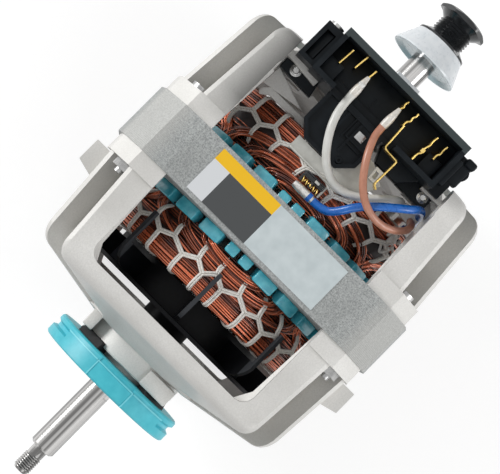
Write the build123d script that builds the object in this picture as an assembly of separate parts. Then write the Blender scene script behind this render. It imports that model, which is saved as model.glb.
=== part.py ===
# Tumble dryer motor: an open-frame induction motor with a shaft out of both ends.
# X runs along the shaft towards the belt pulley, and Z out of the switch side.
# The origin is on the shaft's axis, in the middle of the blower-end clamp band.
# All sizes are in millimetres.

import os
from math import cos, pi, radians, sin, sqrt, tan

from build123d import *

os.makedirs("parts", exist_ok=True)

# Stator stack
stack_length = 25.0
stack_half_width = 70.5
stack_flat_half = 46.5
stack_shoulder = 57.5
stack_shoulder_height = 68.0
stator_bore_radius = 41.0
slot_count = 24
slot_inner_radius = 43.0
slot_outer_radius = 57.0
slot_mouth = 2.6
tooth_width = 4.4

# Slot liners and winding
liner_gap = 0.05
liner_wall = 0.5
cuff_length = 5.0
cuff_lip = 0.6
coil_inner_radius = 44.0
coil_core_radius = 56.4
coil_corner = 4.0
coil_depth_blower = 25.2
coil_depth_pulley = 28.0
wire_radius = 0.8
turn_pitch = 2.2
turn_gap = 0.06
turns_blower = 6
turns_pulley = 7
lacing_radius = 0.8
lacing_ring_radius = 50.0

# End frames, measured outwards from the faces of the stack
frame_half = 67.0
frame_corner_cut = 12.0
frame_wall = 3.0
frame_corner_depth = 51.5
frame_corner_half = 63.6
frame_corner_round = 8.0
frame_nose_depth = 59.5
frame_nose_half = 26.0
window_half = 43.7
window_depth = 44.0
window_round = 6.0
pad_depth = 8.0
pad_half = 69.0
pad_shoulder = 57.0
pad_inner = 60.5
channel_half = 6.0
channel_wall = 3.0
channel_floor = 74.5
channel_taper = 2.5
channel_arm_depth = 3.6
channel_arm_end = 36.0
lug_start = 8.6
lug_length = 10.7
lug_reach = 73.6
lug_low = 34.0
lug_high = 48.0
hub_radius = 24.5
hub_face_depth_blower = 68.0
hub_face_depth_pulley = 62.5
hub_notch_count = 6
hub_notch_width = 8.0
hub_notch_depth_blower = 6.0
hub_notch_depth_pulley = 2.4
hub_socket_radius = 14.0
hub_cavity_start = 50.5
spigot_radius = 17.5
spigot_length_blower = 13.0
spigot_length_pulley = 12.2
hub_shaft_gap = 1.2
tongue_start = 36.0
tongue_width = 10.5
tongue_tip = 24.0
tongue_root = 54.0
tongue_low = 43.0
tongue_thickness = 3.0
plate_rim = 50.0

# Bearings
bearing_ball_radius = 11.0
bearing_half_length = 7.0
bearing_depth = 62.0
bearing_shaft_gap = 0.03
retainer_thickness = 1.0
felt_thickness = 2.0
felt_wall = 3.5
washer_thickness = 1.2
washer_radius = 9.5

# Mounting rings
ring_band_radius = 33.0
ring_band_length = 7.2
ring_flange_radius = 34.7
ring_flange_length = 3.3
ring_pad_count = 8
ring_groove_depth = 1.0
ring_groove_width = 6.0
ring_sleeve_wall = 2.0
ring_end_gap = 0.5
stack_back = (hub_face_depth_blower + spigot_length_blower - ring_end_gap
              - ring_flange_length - ring_band_length / 2)
stack_mid = stack_back + stack_length / 2
stack_front = stack_back + stack_length

# Shaft and rotor
shaft_radius = 5.95
shaft_radius_pulley = 5.75
journal_radius = 6.35
journal_margin = 0.2
rotor_seat_radius = 8.0
rotor_seat_reach = 33.0
air_gap = 0.45
end_ring_length = 9.0
end_ring_outer = 38.0
end_ring_inner = 24.0
shaft_reach_blower = 131.0
neck_length = 3.5
neck_radius = 3.6
thread_radius = 3.97
thread_length = 9.5
shaft_flat_depth = 0.5
shaft_flat_length = 34.0
shaft_reach_pulley = 129.0
shaft_end_blower = stack_mid - shaft_reach_blower
shaft_end_pulley = stack_mid + shaft_reach_pulley

# Fan
fan_hub_radius = 11.3
fan_hub_start = 33.0
fan_hub_end = 49.0
fan_disc_depth = 38.7
fan_disc_thickness = 1.6
fan_disc_radius = 52.0
fan_vane_count = 10
fan_vane_thickness = 1.8
fan_tip_radius = 61.8
fan_tip_height = 1.8
fan_tip_end = 12.5
fan_shoulder = 31.0
fan_clear = 28.6

# Pulley
pulley_reach = 115.6
pulley_flange_radius = 12.6
pulley_flange_length = 3.4
pulley_rib_length = 7.5
pulley_rib_count = 5
pulley_rib_radius = 8.6
pulley_rib_depth = 1.1
pulley_flare_length = 2.2
hex_flats = 22.2
hex_length = 2.5
pulley_start = stack_mid + pulley_reach

# Actuator cone and governor
cone_length = 10.6
cone_pulley_gap = 0.2
cone_rim_radius = 17.0
cone_end_radius = 12.6
cone_wall = 1.3
cone_face = 1.5
cone_sleeve_radius = 8.4
cone_sleeve_length = 1.5
cone_shaft_gap = 0.04
carrier_radius = 10.6
carrier_thickness = 1.5
carrier_face = pulley_start - carrier_thickness
weight_length = 3.4
weight_inner = 8.9
weight_outer = 10.4
weight_half_angle = 35.0
pivot_radius = 0.5
pivot_gap = 0.04
pivot_length = 8.0
pivot_height = 9.4
pivot_place = carrier_face - 1.2
pivot_ear_half = 0.95
pivot_ear_inner = 2.7
pivot_ear_outer = 3.8
weight_end = pivot_place - pivot_ear_half - 0.3
spring_wire = 0.35
spring_radius = 7.0
spring_turns = 3
cone_start = pulley_start - cone_pulley_gap - cone_length

# Through bolts
bolt_place = 58.0
bolt_radius = 2.4
bolt_hole_gap = 0.2
bolt_head_radius = 4.4
bolt_head_length = 2.0
nut_flats = 7.9
nut_length = 3.2
bolt_tail = 5.0

# Switch, measured from the stack's middle along X
switch_left = 58.0
switch_right = 80.5
switch_low = -35.0
switch_high = 33.0
switch_floor = 43.0
switch_rim = 70.0
switch_wall = 2.2
switch_wall_right = 2.8
switch_base = 2.5
lobe_left = 37.0
lobe_low = -8.0
lobe_high = 21.0
lobe_rim = switch_rim - 8.0
lobe_corner = 6.0
lobe_floor = lobe_rim - 2.6
wing_left = 52.5
wing_rim = 52.0
wing_reach = 40.0
wing_gap = 0.3
wing_screw_inset = 2.6
wing_screw_radius = 1.4
wing_screw_head = 2.3
wing_screw_depth = 4.0
shelf_top = 46.0
side_block_right = 77.2
side_block_high = 41.0
side_block_rim = switch_rim - 4.0
lower_wing_low = -43.5
ear_place = 72.5
ear_radius = 3.5
ear_foot = wing_rim - 4.0
ear_length = 10.0
blade_thickness = 0.8
blade_foot = 45.5
blade_top = switch_rim - 4.2
strip_thickness = 0.8
strip_height = 6.0
lever_pin_radius = 1.5
lever_pin_gap = 0.04
lever_width = 12.0
lever_eye_radius = 2.5
lever_drop = 24.5

# Sticker, guard plate and thermal protector
sticker_length = 21.2
sticker_half_width = 34.5
sticker_thickness = 0.3
guard_thickness = 0.8
coil_top = coil_core_radius + 2 * wire_radius + turn_gap
protector_left = 23.0
protector_length = 6.5
protector_low = -5.0
protector_high = 5.5
protector_height = 4.4
capsule_radius = 1.9
capsule_place = 21.6

# Leads
white_lead_radius = 2.15
brown_lead_radius = 1.6
blue_lead_radius = 1.75
connector_length = 7.0
connector_width = 3.0
connector_height = 6.0
connector_below_blade = 1.3


def along_x(sketch, start, length):
    """Extrude a sketch in the YZ plane towards +X from the given place."""
    return extrude(Plane.YZ.offset(start) * sketch, length)


def upright(sketch, start, height):
    """Extrude a sketch in the XY plane upwards from the given height."""
    return extrude(Plane.XY.offset(start) * sketch, height)


def turned(points):
    """Revolve an outline of (place along X, radius) points round the shaft's axis."""
    return revolve(make_face(Polyline(points, close=True)), axis=Axis.X)


def rod(start, length, radius):
    """A round bar on the shaft's axis."""
    return along_x(Circle(radius), start, length)


def tube(start, length, outer, inner):
    """A plain tube round the shaft's axis."""
    return along_x(Circle(outer) - Circle(inner), start, length)


def box_between(low, high):
    """A box from its lowest to its highest corner."""
    size = [high[i] - low[i] for i in range(3)]
    middle = [(high[i] + low[i]) / 2 for i in range(3)]
    return Pos(*middle) * Box(*size)


def quarter_turns(solid):
    """The same solid at all four corners or sides."""
    return [Rot(90 * i, 0, 0) * solid for i in range(4)]


def on_blower_side(solid):
    """Place a piece made outwards from the stack on the blower side."""
    return Pos(stack_back, 0, 0) * mirror(solid, about=Plane.YZ)


def on_pulley_side(solid):
    """Place a piece made outwards from the stack on the pulley side."""
    return Pos(stack_front, 0, 0) * solid


def cut_corner_square(half, cut):
    """A square outline with its corners cut off."""
    inner = half - cut
    corner = [(inner, half), (half, inner)]
    points = []
    for i in range(4):
        turn = -radians(90 * i)
        for y, z in corner:
            points.append((y * cos(turn) - z * sin(turn), y * sin(turn) + z * cos(turn)))
    return make_face(Polyline(points, close=True))


# Stator


def stack_outline():
    corner = [
        (stack_flat_half, stack_half_width),
        (stack_shoulder, stack_shoulder_height),
        (stack_shoulder_height, stack_shoulder),
        (stack_half_width, stack_flat_half),
    ]
    points = []
    for i in range(4):
        turn = -radians(90 * i)
        for y, z in corner:
            points.append((y * cos(turn) - z * sin(turn), y * sin(turn) + z * cos(turn)))
    return make_face(Polyline(points, close=True))


def slot_half_width(radius):
    """Half of a slot's width at a radius, between two teeth of even width."""
    half_step = pi / slot_count
    return radius * tan(half_step) - tooth_width / 2 / cos(half_step)


def slot_outline(inset):
    """The slot that points along Z, drawn in by the inset all round."""
    low = slot_inner_radius + inset
    high = slot_outer_radius - inset
    low_half = slot_half_width(low) - inset
    high_half = slot_half_width(high) - inset
    points = [(-low_half, low), (low_half, low), (high_half, high), (-high_half, high)]
    return make_face(Polyline(points, close=True))


def every_slot(shape):
    step = 360 / slot_count
    return [Rot(step * i, 0, 0) * shape for i in range(slot_count)]


def stator_core():
    core = along_x(stack_outline() - Circle(stator_bore_radius), stack_back, stack_length)
    slot = along_x(slot_outline(0), stack_back, stack_length)
    mouth_depth = slot_inner_radius - stator_bore_radius + 2
    mouth = Pos(0, stator_bore_radius - 1 + mouth_depth / 2) * Rectangle(slot_mouth, mouth_depth)
    slot += along_x(mouth, stack_back, stack_length)
    core -= every_slot(slot)
    hole = along_x(Pos(bolt_place, bolt_place) * Circle(bolt_radius + bolt_hole_gap),
                   stack_back, stack_length)
    return core - quarter_turns(hole)


def slot_liners():
    inner = slot_outline(liner_gap + liner_wall)
    body = along_x(slot_outline(liner_gap), stack_back - cuff_length, stack_length + 2 * cuff_length)
    for start in (stack_back - cuff_length, stack_front):
        body += along_x(slot_outline(-cuff_lip), start, cuff_length)
    body -= along_x(inner, stack_back - cuff_length, stack_length + 2 * cuff_length)
    return Compound(children=every_slot(body))


def coil_head(depth):
    """One coil head: a rounded ring outwards from the cuffs."""
    start = cuff_length + liner_wall
    middle = (coil_core_radius + coil_inner_radius) / 2
    ring = Pos((start + depth) / 2, middle) * Rectangle(depth - start, coil_core_radius - coil_inner_radius)
    outer_corners = ring.vertices().group_by(Axis.X)[-1]
    ring = fillet(outer_corners, coil_corner)
    return revolve(ring, axis=Axis.X)


def stator_winding():
    bar = along_x(slot_outline(liner_gap + liner_wall + liner_gap),
                  stack_back - cuff_length - 1, stack_length + 2 * cuff_length + 2)
    heads = [on_blower_side(coil_head(coil_depth_blower)), on_pulley_side(coil_head(coil_depth_pulley))]
    return heads[0] + every_slot(bar) + heads[1]


def biarc(start, start_way, end, end_way):
    """Two tangent arcs from one point and direction to another."""
    across = end - start
    ways = start_way + end_way
    spread = 2 * (1 - start_way.dot(end_way))
    reach = (sqrt(across.dot(ways) ** 2 + spread * across.dot(across)) - across.dot(ways)) / spread
    first_corner = start + start_way * reach
    last_corner = end - end_way * reach
    middle = (first_corner + last_corner) * 0.5
    middle_way = (last_corner - first_corner).normalized()
    return [
        Edge.make_tangent_arc(start, start_way, middle),
        Edge.make_tangent_arc(middle, middle_way, end),
    ]


def helix_path(start, radius, pitch, turns):
    """A helix round the shaft's axis as one unbroken run of arcs."""
    def point(half_turns):
        angle = pi * half_turns
        return Vector(start + pitch * half_turns / 2, radius * cos(angle), radius * sin(angle))

    def way(half_turns):
        angle = pi * half_turns
        return Vector(pitch / (2 * pi), -radius * sin(angle), radius * cos(angle)).normalized()

    edges = []
    for k in range(2 * turns):
        edges += biarc(point(k), way(k), point(k + 1), way(k + 1))
    return Wire(edges)


def wound_tube(name, start, radius, pitch, turns, wire):
    """One unbroken wire wound round the shaft's axis."""
    path = helix_path(start, radius, pitch, turns)
    section = Plane(origin=path @ 0, z_dir=path % 0) * Circle(wire)
    steps_per_turn = 24
    points = [path @ (i / (steps_per_turn * turns)) for i in range(steps_per_turn * turns + 1)]
    apart = min((points[i] - points[j]).length
                for i in range(len(points)) for j in range(i + steps_per_turn // 2, len(points)))
    print(f"{name}: {turns} turns, least gap to itself {apart - 2 * wire:.2f} mm")
    return sweep(section, path=path)


def coil_turns(name, depth, turns):
    radius = coil_core_radius + wire_radius + turn_gap
    last = depth - coil_corner - wire_radius
    first = last - turn_pitch * turns
    return wound_tube(name, first, radius, turn_pitch, turns, wire_radius)


def lacing(depth):
    """The lacing cord lies in a ring on the coil head's end."""
    ring = Pos(depth + lacing_radius, lacing_ring_radius) * Circle(lacing_radius)
    return revolve(ring, axis=Axis.X)


# End frames, made outwards from the stack along X


def frame_shell(inset):
    """The outside of a frame, or with an inset its inside."""
    mouth = frame_half - inset
    corner = frame_corner_half - inset
    nose = frame_nose_half - inset
    sections = [
        Plane.YZ.offset(-1 if inset else 0) * cut_corner_square(mouth, frame_corner_cut),
        Plane.YZ.offset(frame_corner_depth - inset) * cut_corner_square(corner, frame_corner_cut),
        Plane.YZ.offset(frame_nose_depth - inset) * cut_corner_square(nose, frame_corner_cut),
    ]
    shell = loft(sections, ruled=True)
    bend = [e for e in shell.edges()
            if abs(e.center().X - (frame_corner_depth - inset)) < 0.01]
    return fillet(bend, frame_corner_round - inset)


def channel_floor_line(inset):
    """The floor of a leg's channel, from the pad round the corner and down the end."""
    slope = (frame_nose_depth - frame_corner_depth) / (frame_corner_half - frame_nose_half) / sqrt(2)
    corner_out = (frame_corner_half - frame_corner_cut / 2) * sqrt(2)
    arm_depth = channel_arm_depth + inset
    bend_out = channel_floor - channel_taper - 8 - inset
    leg_end = frame_corner_depth - arm_depth - 8

    def arm_place(out):
        return frame_corner_depth + (corner_out - out) * slope - arm_depth

    return [
        (leg_end, channel_floor - channel_taper - inset),
        (arm_place(bend_out), bend_out),
        (arm_place(channel_arm_end), channel_arm_end),
    ]


def channel_prism(start, inset, half):
    """The space over a leg's channel floor, as wide as told."""
    line = [(start, channel_floor - inset)] + channel_floor_line(inset)
    end_place = line[-1][0]
    beyond = 30
    points = line + [(end_place + beyond, channel_arm_end), (end_place + beyond, 120), (start, 120)]
    profile = Plane.XZ * make_face(Polyline(points, close=True))
    prism = extrude(profile, half, both=True)
    return Rot(-45, 0, 0) * prism


def frame_window():
    """A window through one side, with rounded far corners."""
    window = Pos(window_depth / 2 - 2, 0) * Rectangle(window_depth + 4, 2 * window_half)
    far = window.vertices().group_by(Axis.X)[-1]
    window = fillet(far, window_round)
    return upright(window, frame_nose_half + 2, 60)


def frame_pad():
    """The thick corner that meets the stack, with its bolt hole."""
    points = [
        (window_half, pad_inner), (window_half, pad_half), (pad_shoulder, pad_half - 1.8),
        (pad_half - 1.8, pad_shoulder), (pad_half, window_half), (pad_inner, window_half),
    ]
    return along_x(make_face(Polyline(points, close=True)), 0, pad_depth)


def bearing_hub(hub_face, spigot_end, notch_depth):
    """A boss with notches round its rim, and the spigot that carries the mounting ring."""
    hub = turned([
        (hub_cavity_start, 0), (hub_cavity_start, hub_socket_radius + frame_wall),
        (frame_nose_depth - 3, frame_nose_half - 1), (hub_face, hub_radius),
        (hub_face, spigot_radius), (spigot_end, spigot_radius), (spigot_end, 0),
    ])
    notch = box_between((hub_face - notch_depth, -hub_notch_width / 2, spigot_radius + 1),
                        (hub_face + 1, hub_notch_width / 2, hub_radius + 5))
    step = 360 / hub_notch_count
    return hub - [Rot(step * i, 0, 0) * notch for i in range(hub_notch_count)]


def hub_hollow(spigot_end):
    """Shaft hole, bearing seat and the socket that the bearing goes in through."""
    hole = rod(hub_cavity_start - 10, spigot_end - hub_cavity_start + 20, journal_radius + hub_shaft_gap)
    seat = Pos(bearing_depth, 0, 0) * Sphere(bearing_ball_radius)
    seat += rod(hub_cavity_start - 1, bearing_depth - hub_cavity_start + 1, bearing_ball_radius)
    shoulder = bearing_depth - bearing_half_length - retainer_thickness
    socket = rod(hub_cavity_start - 1, shoulder + retainer_thickness - hub_cavity_start + 1, hub_socket_radius)
    return hole + seat + socket


def end_frame(hub_face, spigot_length, notch_depth):
    """A cast end frame: four channelled legs, a dished end and a bearing hub."""
    outside = frame_shell(0)
    frame = outside - frame_shell(frame_wall)
    frame -= quarter_turns(frame_window())
    leg = channel_prism(0, channel_wall, channel_half + channel_wall) & outside
    frame += quarter_turns(leg)
    frame += quarter_turns(frame_pad())
    frame -= quarter_turns(channel_prism(pad_depth, 0, channel_half))
    hole = along_x(Pos(bolt_place, bolt_place) * Circle(bolt_radius + bolt_hole_gap), -1, pad_depth + 2)
    frame -= quarter_turns(hole)
    spigot_end = hub_face + spigot_length
    frame += bearing_hub(hub_face, spigot_end, notch_depth)
    return frame - hub_hollow(spigot_end)


def side_lug(side):
    """A lug that stands out of the blower frame's side, slanted at its far end."""
    root = frame_half - frame_wall
    lug_end = lug_start + lug_length
    points = [(lug_start, root), (lug_end + 2.5, root), (lug_end, lug_reach), (lug_start, lug_reach)]
    lug = upright(make_face(Polyline(points, close=True)), lug_low, lug_high - lug_low)
    return lug if side > 0 else mirror(lug, about=Plane.XZ)


def blower_frame():
    frame = end_frame(hub_face_depth_blower, spigot_length_blower, hub_notch_depth_blower)
    for side in (1, -1):
        frame += side_lug(side)
    return on_blower_side(frame)


def frame_tongue():
    """A flat three-cornered tongue from a leg's inside towards the shaft."""
    middle = tongue_start + tongue_width / 2
    outline = make_face(Polyline([(tongue_start, tongue_root), (middle, tongue_tip),
                                  (tongue_start + tongue_width, tongue_root)], close=True))
    return upright(outline, tongue_low, tongue_thickness)


def pulley_frame():
    frame = end_frame(hub_face_depth_pulley, spigot_length_pulley, hub_notch_depth_pulley)
    frame += [frame_tongue(), mirror(frame_tongue(), about=Plane.XZ)]
    frame = on_pulley_side(frame)
    plate_back = stack_mid + wing_left - 4
    far = stack_mid + switch_right + 5
    side = window_half - 0.5
    shelf = box_between((stack_mid + wing_left - 1, -wing_reach, shelf_top - 6),
                        (stack_front + frame_corner_depth - 1, -wing_reach + 10, shelf_top))
    frame += [shelf, mirror(shelf, about=Plane.XZ)]
    frame -= box_between((plate_back, -side, plate_rim), (far, side, 90))
    frame -= box_between((plate_back, -wing_reach - wing_gap, shelf_top),
                         (stack_mid + switch_left + 1 + wing_gap, wing_reach + wing_gap, 90))
    for x, y in wing_screw_places():
        frame -= Pos(stack_mid + x, y, shelf_top) * Cylinder(wing_screw_radius, 2 * wing_screw_depth)
    return frame - box_between((stack_mid + switch_left, switch_low, switch_floor),
                               (far, switch_high, 90))


# Bearings and mounting rings, made outwards from the stack along X


def bearing():
    ball = Sphere(bearing_ball_radius) & Rot(0, 90, 0) * Cylinder(bearing_ball_radius, 2 * bearing_half_length)
    return Pos(bearing_depth, 0, 0) * ball - rod(bearing_depth - 20, 40, journal_radius + bearing_shaft_gap)


def bearing_retainer():
    start = bearing_depth - bearing_half_length - retainer_thickness
    ring = tube(start, retainer_thickness, hub_socket_radius, journal_radius + hub_shaft_gap)
    notch = box_between((start - 1, -1.2, hub_socket_radius - 3), (start + 3, 1.2, hub_socket_radius + 2))
    return ring - [Rot(60 * i, 0, 0) * notch for i in range(6)]


def felt_wick():
    start = bearing_depth - bearing_half_length - retainer_thickness - felt_thickness
    inner = journal_radius + hub_shaft_gap
    return tube(start, felt_thickness, inner + felt_wall, inner)


def thrust_washer(place):
    return tube(place, washer_thickness, washer_radius, journal_radius)


def ring_sleeve(spigot_end):
    length = ring_band_length + ring_flange_length
    start = spigot_end - length - ring_end_gap
    return tube(start, length, spigot_radius + ring_sleeve_wall, spigot_radius)


def mounting_ring(spigot_end):
    """Clamp band towards the motor, flange outside it, with steps round its rim."""
    start = spigot_end - ring_band_length - ring_flange_length - ring_end_gap
    inner = spigot_radius + ring_sleeve_wall
    band_end = start + ring_band_length
    end = band_end + ring_flange_length
    ring = turned([
        (start, inner), (start, ring_band_radius), (band_end, ring_band_radius),
        (band_end, ring_flange_radius), (end - 0.8, ring_flange_radius),
        (end, ring_flange_radius - 0.8), (end, inner),
    ])
    low = ring_band_radius - ring_groove_depth
    groove = box_between((start - 1, -ring_groove_width / 2, low),
                         (band_end - 2.2, ring_groove_width / 2, ring_flange_radius + 2))
    dish = turned([(end - 2, inner + 2.5), (end + 1, inner + 2.5), (end + 1, ring_band_radius - 3.5),
                   (end - 2, ring_band_radius - 3.5)])
    step = 360 / ring_pad_count
    return ring - dish - [Rot(step * (i + 0.5), 0, 0) * groove for i in range(ring_pad_count)]


# Shaft, rotor and fan


def shaft():
    seat_start = stack_mid - rotor_seat_reach
    seat_end = stack_mid + rotor_seat_reach
    neck_start = shaft_end_blower - neck_length
    journal_start = stack_back - hub_face_depth_blower - spigot_length_blower - journal_margin
    journal_end = stack_front + hub_face_depth_pulley + spigot_length_pulley + journal_margin
    tip = neck_start - thread_length
    body = turned([
        (tip, 0), (tip, thread_radius - 0.8), (tip + 0.8, thread_radius), (neck_start, thread_radius),
        (neck_start, neck_radius), (shaft_end_blower, neck_radius), (shaft_end_blower, shaft_radius - 1),
        (shaft_end_blower + 1, shaft_radius), (journal_start, shaft_radius), (journal_start, journal_radius),
        (seat_start, journal_radius), (seat_start, rotor_seat_radius),
        (seat_end, rotor_seat_radius), (seat_end, journal_radius), (journal_end, journal_radius),
        (journal_end, shaft_radius_pulley), (shaft_end_pulley - 1, shaft_radius_pulley),
        (shaft_end_pulley, shaft_radius_pulley - 1), (shaft_end_pulley, 0),
    ])
    flat = box_between((shaft_end_blower - 1, -10, shaft_radius - shaft_flat_depth),
                       (shaft_end_blower + shaft_flat_length, 10, shaft_radius + 5))
    return body - Rot(60, 0, 0) * flat


def rotor_core():
    return tube(stack_back, stack_length, stator_bore_radius - air_gap, rotor_seat_radius)


def rotor_end_rings():
    ring = turned([
        (0, end_ring_inner), (0, end_ring_outer), (end_ring_length - 2, end_ring_outer),
        (end_ring_length, end_ring_outer - 2), (end_ring_length, end_ring_inner + 2),
        (end_ring_length - 2, end_ring_inner),
    ])
    return Compound(children=[on_blower_side(ring), on_pulley_side(ring)])


def fan():
    """A disc with vanes that reach over the coil head, made outwards from the stack."""
    hub = tube(fan_hub_start, fan_hub_end - fan_hub_start, fan_hub_radius, journal_radius)
    disc = tube(fan_disc_depth, fan_disc_thickness, fan_disc_radius, journal_radius)
    root = fan_hub_radius - 1
    tip_low = fan_tip_radius - fan_tip_height
    outline = Polyline([
        (fan_clear, tip_low), (fan_tip_end, tip_low), (fan_tip_end, fan_tip_radius),
        (fan_shoulder, fan_tip_radius),
    ])
    flare = ThreePointArc((fan_shoulder, fan_tip_radius),
                          (fan_disc_depth - 2.2, fan_tip_radius - 3.6), (fan_disc_depth, fan_disc_radius))
    closing = Polyline([(fan_disc_depth, fan_disc_radius), (fan_disc_depth, root),
                        (fan_hub_start + 1, root), (fan_clear, root + 8), (fan_clear, tip_low)])
    profile = make_face(outline + flare + closing)
    vane = extrude(profile, fan_vane_thickness / 2, both=True)
    step = 360 / fan_vane_count
    first = Rot(90, 0, 0) * vane
    wheel = hub + disc + [Rot(step * i, 0, 0) * first for i in range(fan_vane_count)]
    return on_blower_side(wheel)


# Pulley, actuator cone and governor


def pulley():
    ribs_start = pulley_start + pulley_flange_length
    ribs_end = ribs_start + pulley_rib_length
    flare_end = ribs_end + pulley_flare_length
    pitch = pulley_rib_length / pulley_rib_count
    points = [(pulley_start, shaft_radius_pulley), (pulley_start, pulley_flange_radius),
              (pulley_start + 0.8, pulley_flange_radius), (ribs_start, pulley_rib_radius)]
    for i in range(pulley_rib_count):
        place = ribs_start + pitch * i
        points += [(place + pitch * 0.5, pulley_rib_radius - pulley_rib_depth),
                   (place + pitch, pulley_rib_radius)]
    hex_radius = hex_flats / 2
    points += [(flare_end, hex_radius), (flare_end + hex_length, hex_radius - 0.6),
               (flare_end + hex_length, shaft_radius_pulley)]
    hexagon = along_x(RegularPolygon(hex_radius, 6, major_radius=False) - Circle(shaft_radius_pulley),
                      flare_end, hex_length)
    cap = turned([(flare_end - 2, 0), (flare_end - 2, hex_radius - 1.6), (flare_end, hex_radius + 1.4),
                  (flare_end + hex_length - 1.2, hex_radius + 1.4), (flare_end + hex_length, hex_radius - 0.4),
                  (flare_end + hex_length, 0)])
    return turned(points) + (hexagon & cap)


def actuator_cone():
    end = cone_start + cone_length
    bore = shaft_radius_pulley + cone_shaft_gap
    face_end = cone_start + 1.2 + cone_face
    return turned([
        (face_end - cone_face, bore), (face_end - cone_face, cone_rim_radius - 3.5),
        (cone_start, cone_rim_radius - 0.6), (cone_start, cone_rim_radius),
        (cone_start + 0.8, cone_rim_radius), (end, cone_end_radius), (end, cone_end_radius - cone_wall),
        (face_end, cone_rim_radius - cone_wall - 1), (face_end, cone_sleeve_radius),
        (face_end + cone_sleeve_length, cone_sleeve_radius), (face_end + cone_sleeve_length, bore),
    ])


def governor_carrier():
    """A disc with two pairs of ears that hold the pivots of the weights."""
    carrier = tube(carrier_face, carrier_thickness, carrier_radius, shaft_radius_pulley)
    ear = box_between((pivot_place - pivot_ear_half, pivot_ear_inner, pivot_height - pivot_ear_half),
                      (carrier_face + 0.5, pivot_ear_outer, pivot_height + pivot_ear_half))
    ears = ear + mirror(ear, about=Plane.XZ)
    hole = Pos(pivot_place, 0, pivot_height) * Rot(90, 0, 0) * Cylinder(pivot_radius + pivot_gap, 20)
    ears -= hole
    return carrier + ears + Rot(180, 0, 0) * ears


def governor_weight():
    """A curved weight on the +Z side with its pivot bar; the other one is turned half round."""
    ring = tube(weight_end - weight_length, weight_length, weight_outer, weight_inner)
    reach = weight_outer * 2
    edge = weight_half_angle
    wedge = make_face(Polyline([
        (0, 0), (-reach * sin(radians(edge)), reach * cos(radians(edge))),
        (reach * sin(radians(edge)), reach * cos(radians(edge)))], close=True))
    body = ring & along_x(wedge, weight_end - weight_length, weight_length)
    link_half = pivot_ear_inner - 0.3
    link = box_between((weight_end - 1, -link_half, pivot_height - pivot_radius),
                       (pivot_place, link_half, pivot_height + pivot_radius))
    bar = Rot(90, 0, 0) * Cylinder(pivot_radius, pivot_length)
    return body + link + Pos(pivot_place, 0, pivot_height) * bar


def actuator_spring():
    start = cone_start + 1.2 + cone_face + cone_sleeve_length + spring_wire
    end = carrier_face - spring_wire
    pitch = (end - start) / spring_turns
    return wound_tube("actuator_spring", start, spring_radius, pitch, spring_turns, spring_wire)


# Bolts


def corner_places():
    return [(side_y * bolt_place, side_z * bolt_place) for side_y in (1, -1) for side_z in (1, -1)]


def through_bolts():
    start = stack_back - pad_depth - bolt_tail
    end = stack_front + pad_depth
    bolts = []
    for y, z in corner_places():
        shank = along_x(Circle(bolt_radius), start, end - start)
        head = along_x(Circle(bolt_head_radius), end, bolt_head_length)
        bolts.append(Pos(0, y, z) * (shank + head))
    return Compound(children=bolts)


def bolt_nuts():
    start = stack_back - pad_depth - nut_length
    nut = along_x(RegularPolygon(nut_flats / 2, 6, major_radius=False) - Circle(bolt_radius), start, nut_length)
    return Compound(children=[Pos(0, y, z) * nut for y, z in corner_places()])


# Switch and what is fixed near it


def switch_tray():
    """The main box, open to the front."""
    tray = box_between((switch_left, switch_low, switch_floor), (switch_right, switch_high, switch_rim))
    tray -= box_between((switch_left + switch_wall, switch_low + switch_wall, switch_floor + switch_base),
                        (switch_right - switch_wall_right, switch_high - switch_wall, switch_rim + 1))
    tray -= box_between((switch_left - 1, lobe_low - 5, lobe_rim),
                        (switch_left + switch_wall + 1, lobe_high, switch_rim + 1))
    return tray


def switch_partitions():
    """Low walls between the terminals."""
    walls = []
    for y in (23.0, 17.0, 5.0, -15.0, -24.5):
        walls.append(box_between((switch_left + 1, y - 0.6, switch_floor + 1),
                                 (switch_right - 1, y + 0.6, switch_rim - 12)))
    return walls


def switch_lobe():
    """The rounded block that reaches over the coil head, with a shallow pocket."""
    outline = Pos((lobe_left + switch_left + 1) / 2, (lobe_low + lobe_high) / 2) * Rectangle(
        switch_left + 1 - lobe_left, lobe_high - lobe_low)
    outline = chamfer(outline.vertices().group_by(Axis.X)[0], lobe_corner)
    pocket = offset(outline, -1.6)
    lobe = upright(outline, lobe_floor, lobe_rim - lobe_floor)
    lobe -= upright(pocket, lobe_floor + 1.2, lobe_rim)
    neck = box_between((stack_front - stack_mid + frame_corner_depth - 18, lobe_low, shelf_top),
                       (switch_left + 1, lobe_high, lobe_floor + 0.5))
    for y in (2.0, 9.0):
        lobe += box_between((lobe_left + 6, y - 0.5, lobe_floor), (switch_left, y + 0.5, lobe_rim - 0.4))
    return lobe + neck


def switch_wings():
    """The two feet that are screwed to the frame, and the blocks at the tray's ends."""
    top = box_between((wing_left, switch_high - 3, shelf_top), (switch_left + 1, wing_reach, wing_rim))
    low = mirror(top, about=Plane.XZ)
    side = box_between((switch_left + 1, switch_high - 1, switch_floor + 8),
                       (side_block_right, side_block_high, side_block_rim))
    side -= box_between((switch_left + 3, switch_high + 1.5, side_block_rim - 5),
                        (side_block_right - 3, side_block_high - 2, side_block_rim + 1))
    ledge = box_between((switch_left, lower_wing_low + 3, wing_rim), (75.0, switch_low + 1, wing_rim + 6))
    ear = Pos(ear_place, lower_wing_low + ear_radius, ear_foot) * Cylinder(
        ear_radius, ear_length, align=(Align.CENTER, Align.CENTER, Align.MIN))
    return [top, low, side, ledge, ear]


def wing_screw_places():
    return [(wing_left + wing_screw_inset, wing_reach - 3.5), (wing_left + wing_screw_inset, 3.5 - wing_reach)]


def lever_pivot():
    return (switch_right + lever_eye_radius, switch_floor - lever_eye_radius + 0.5)


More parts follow.
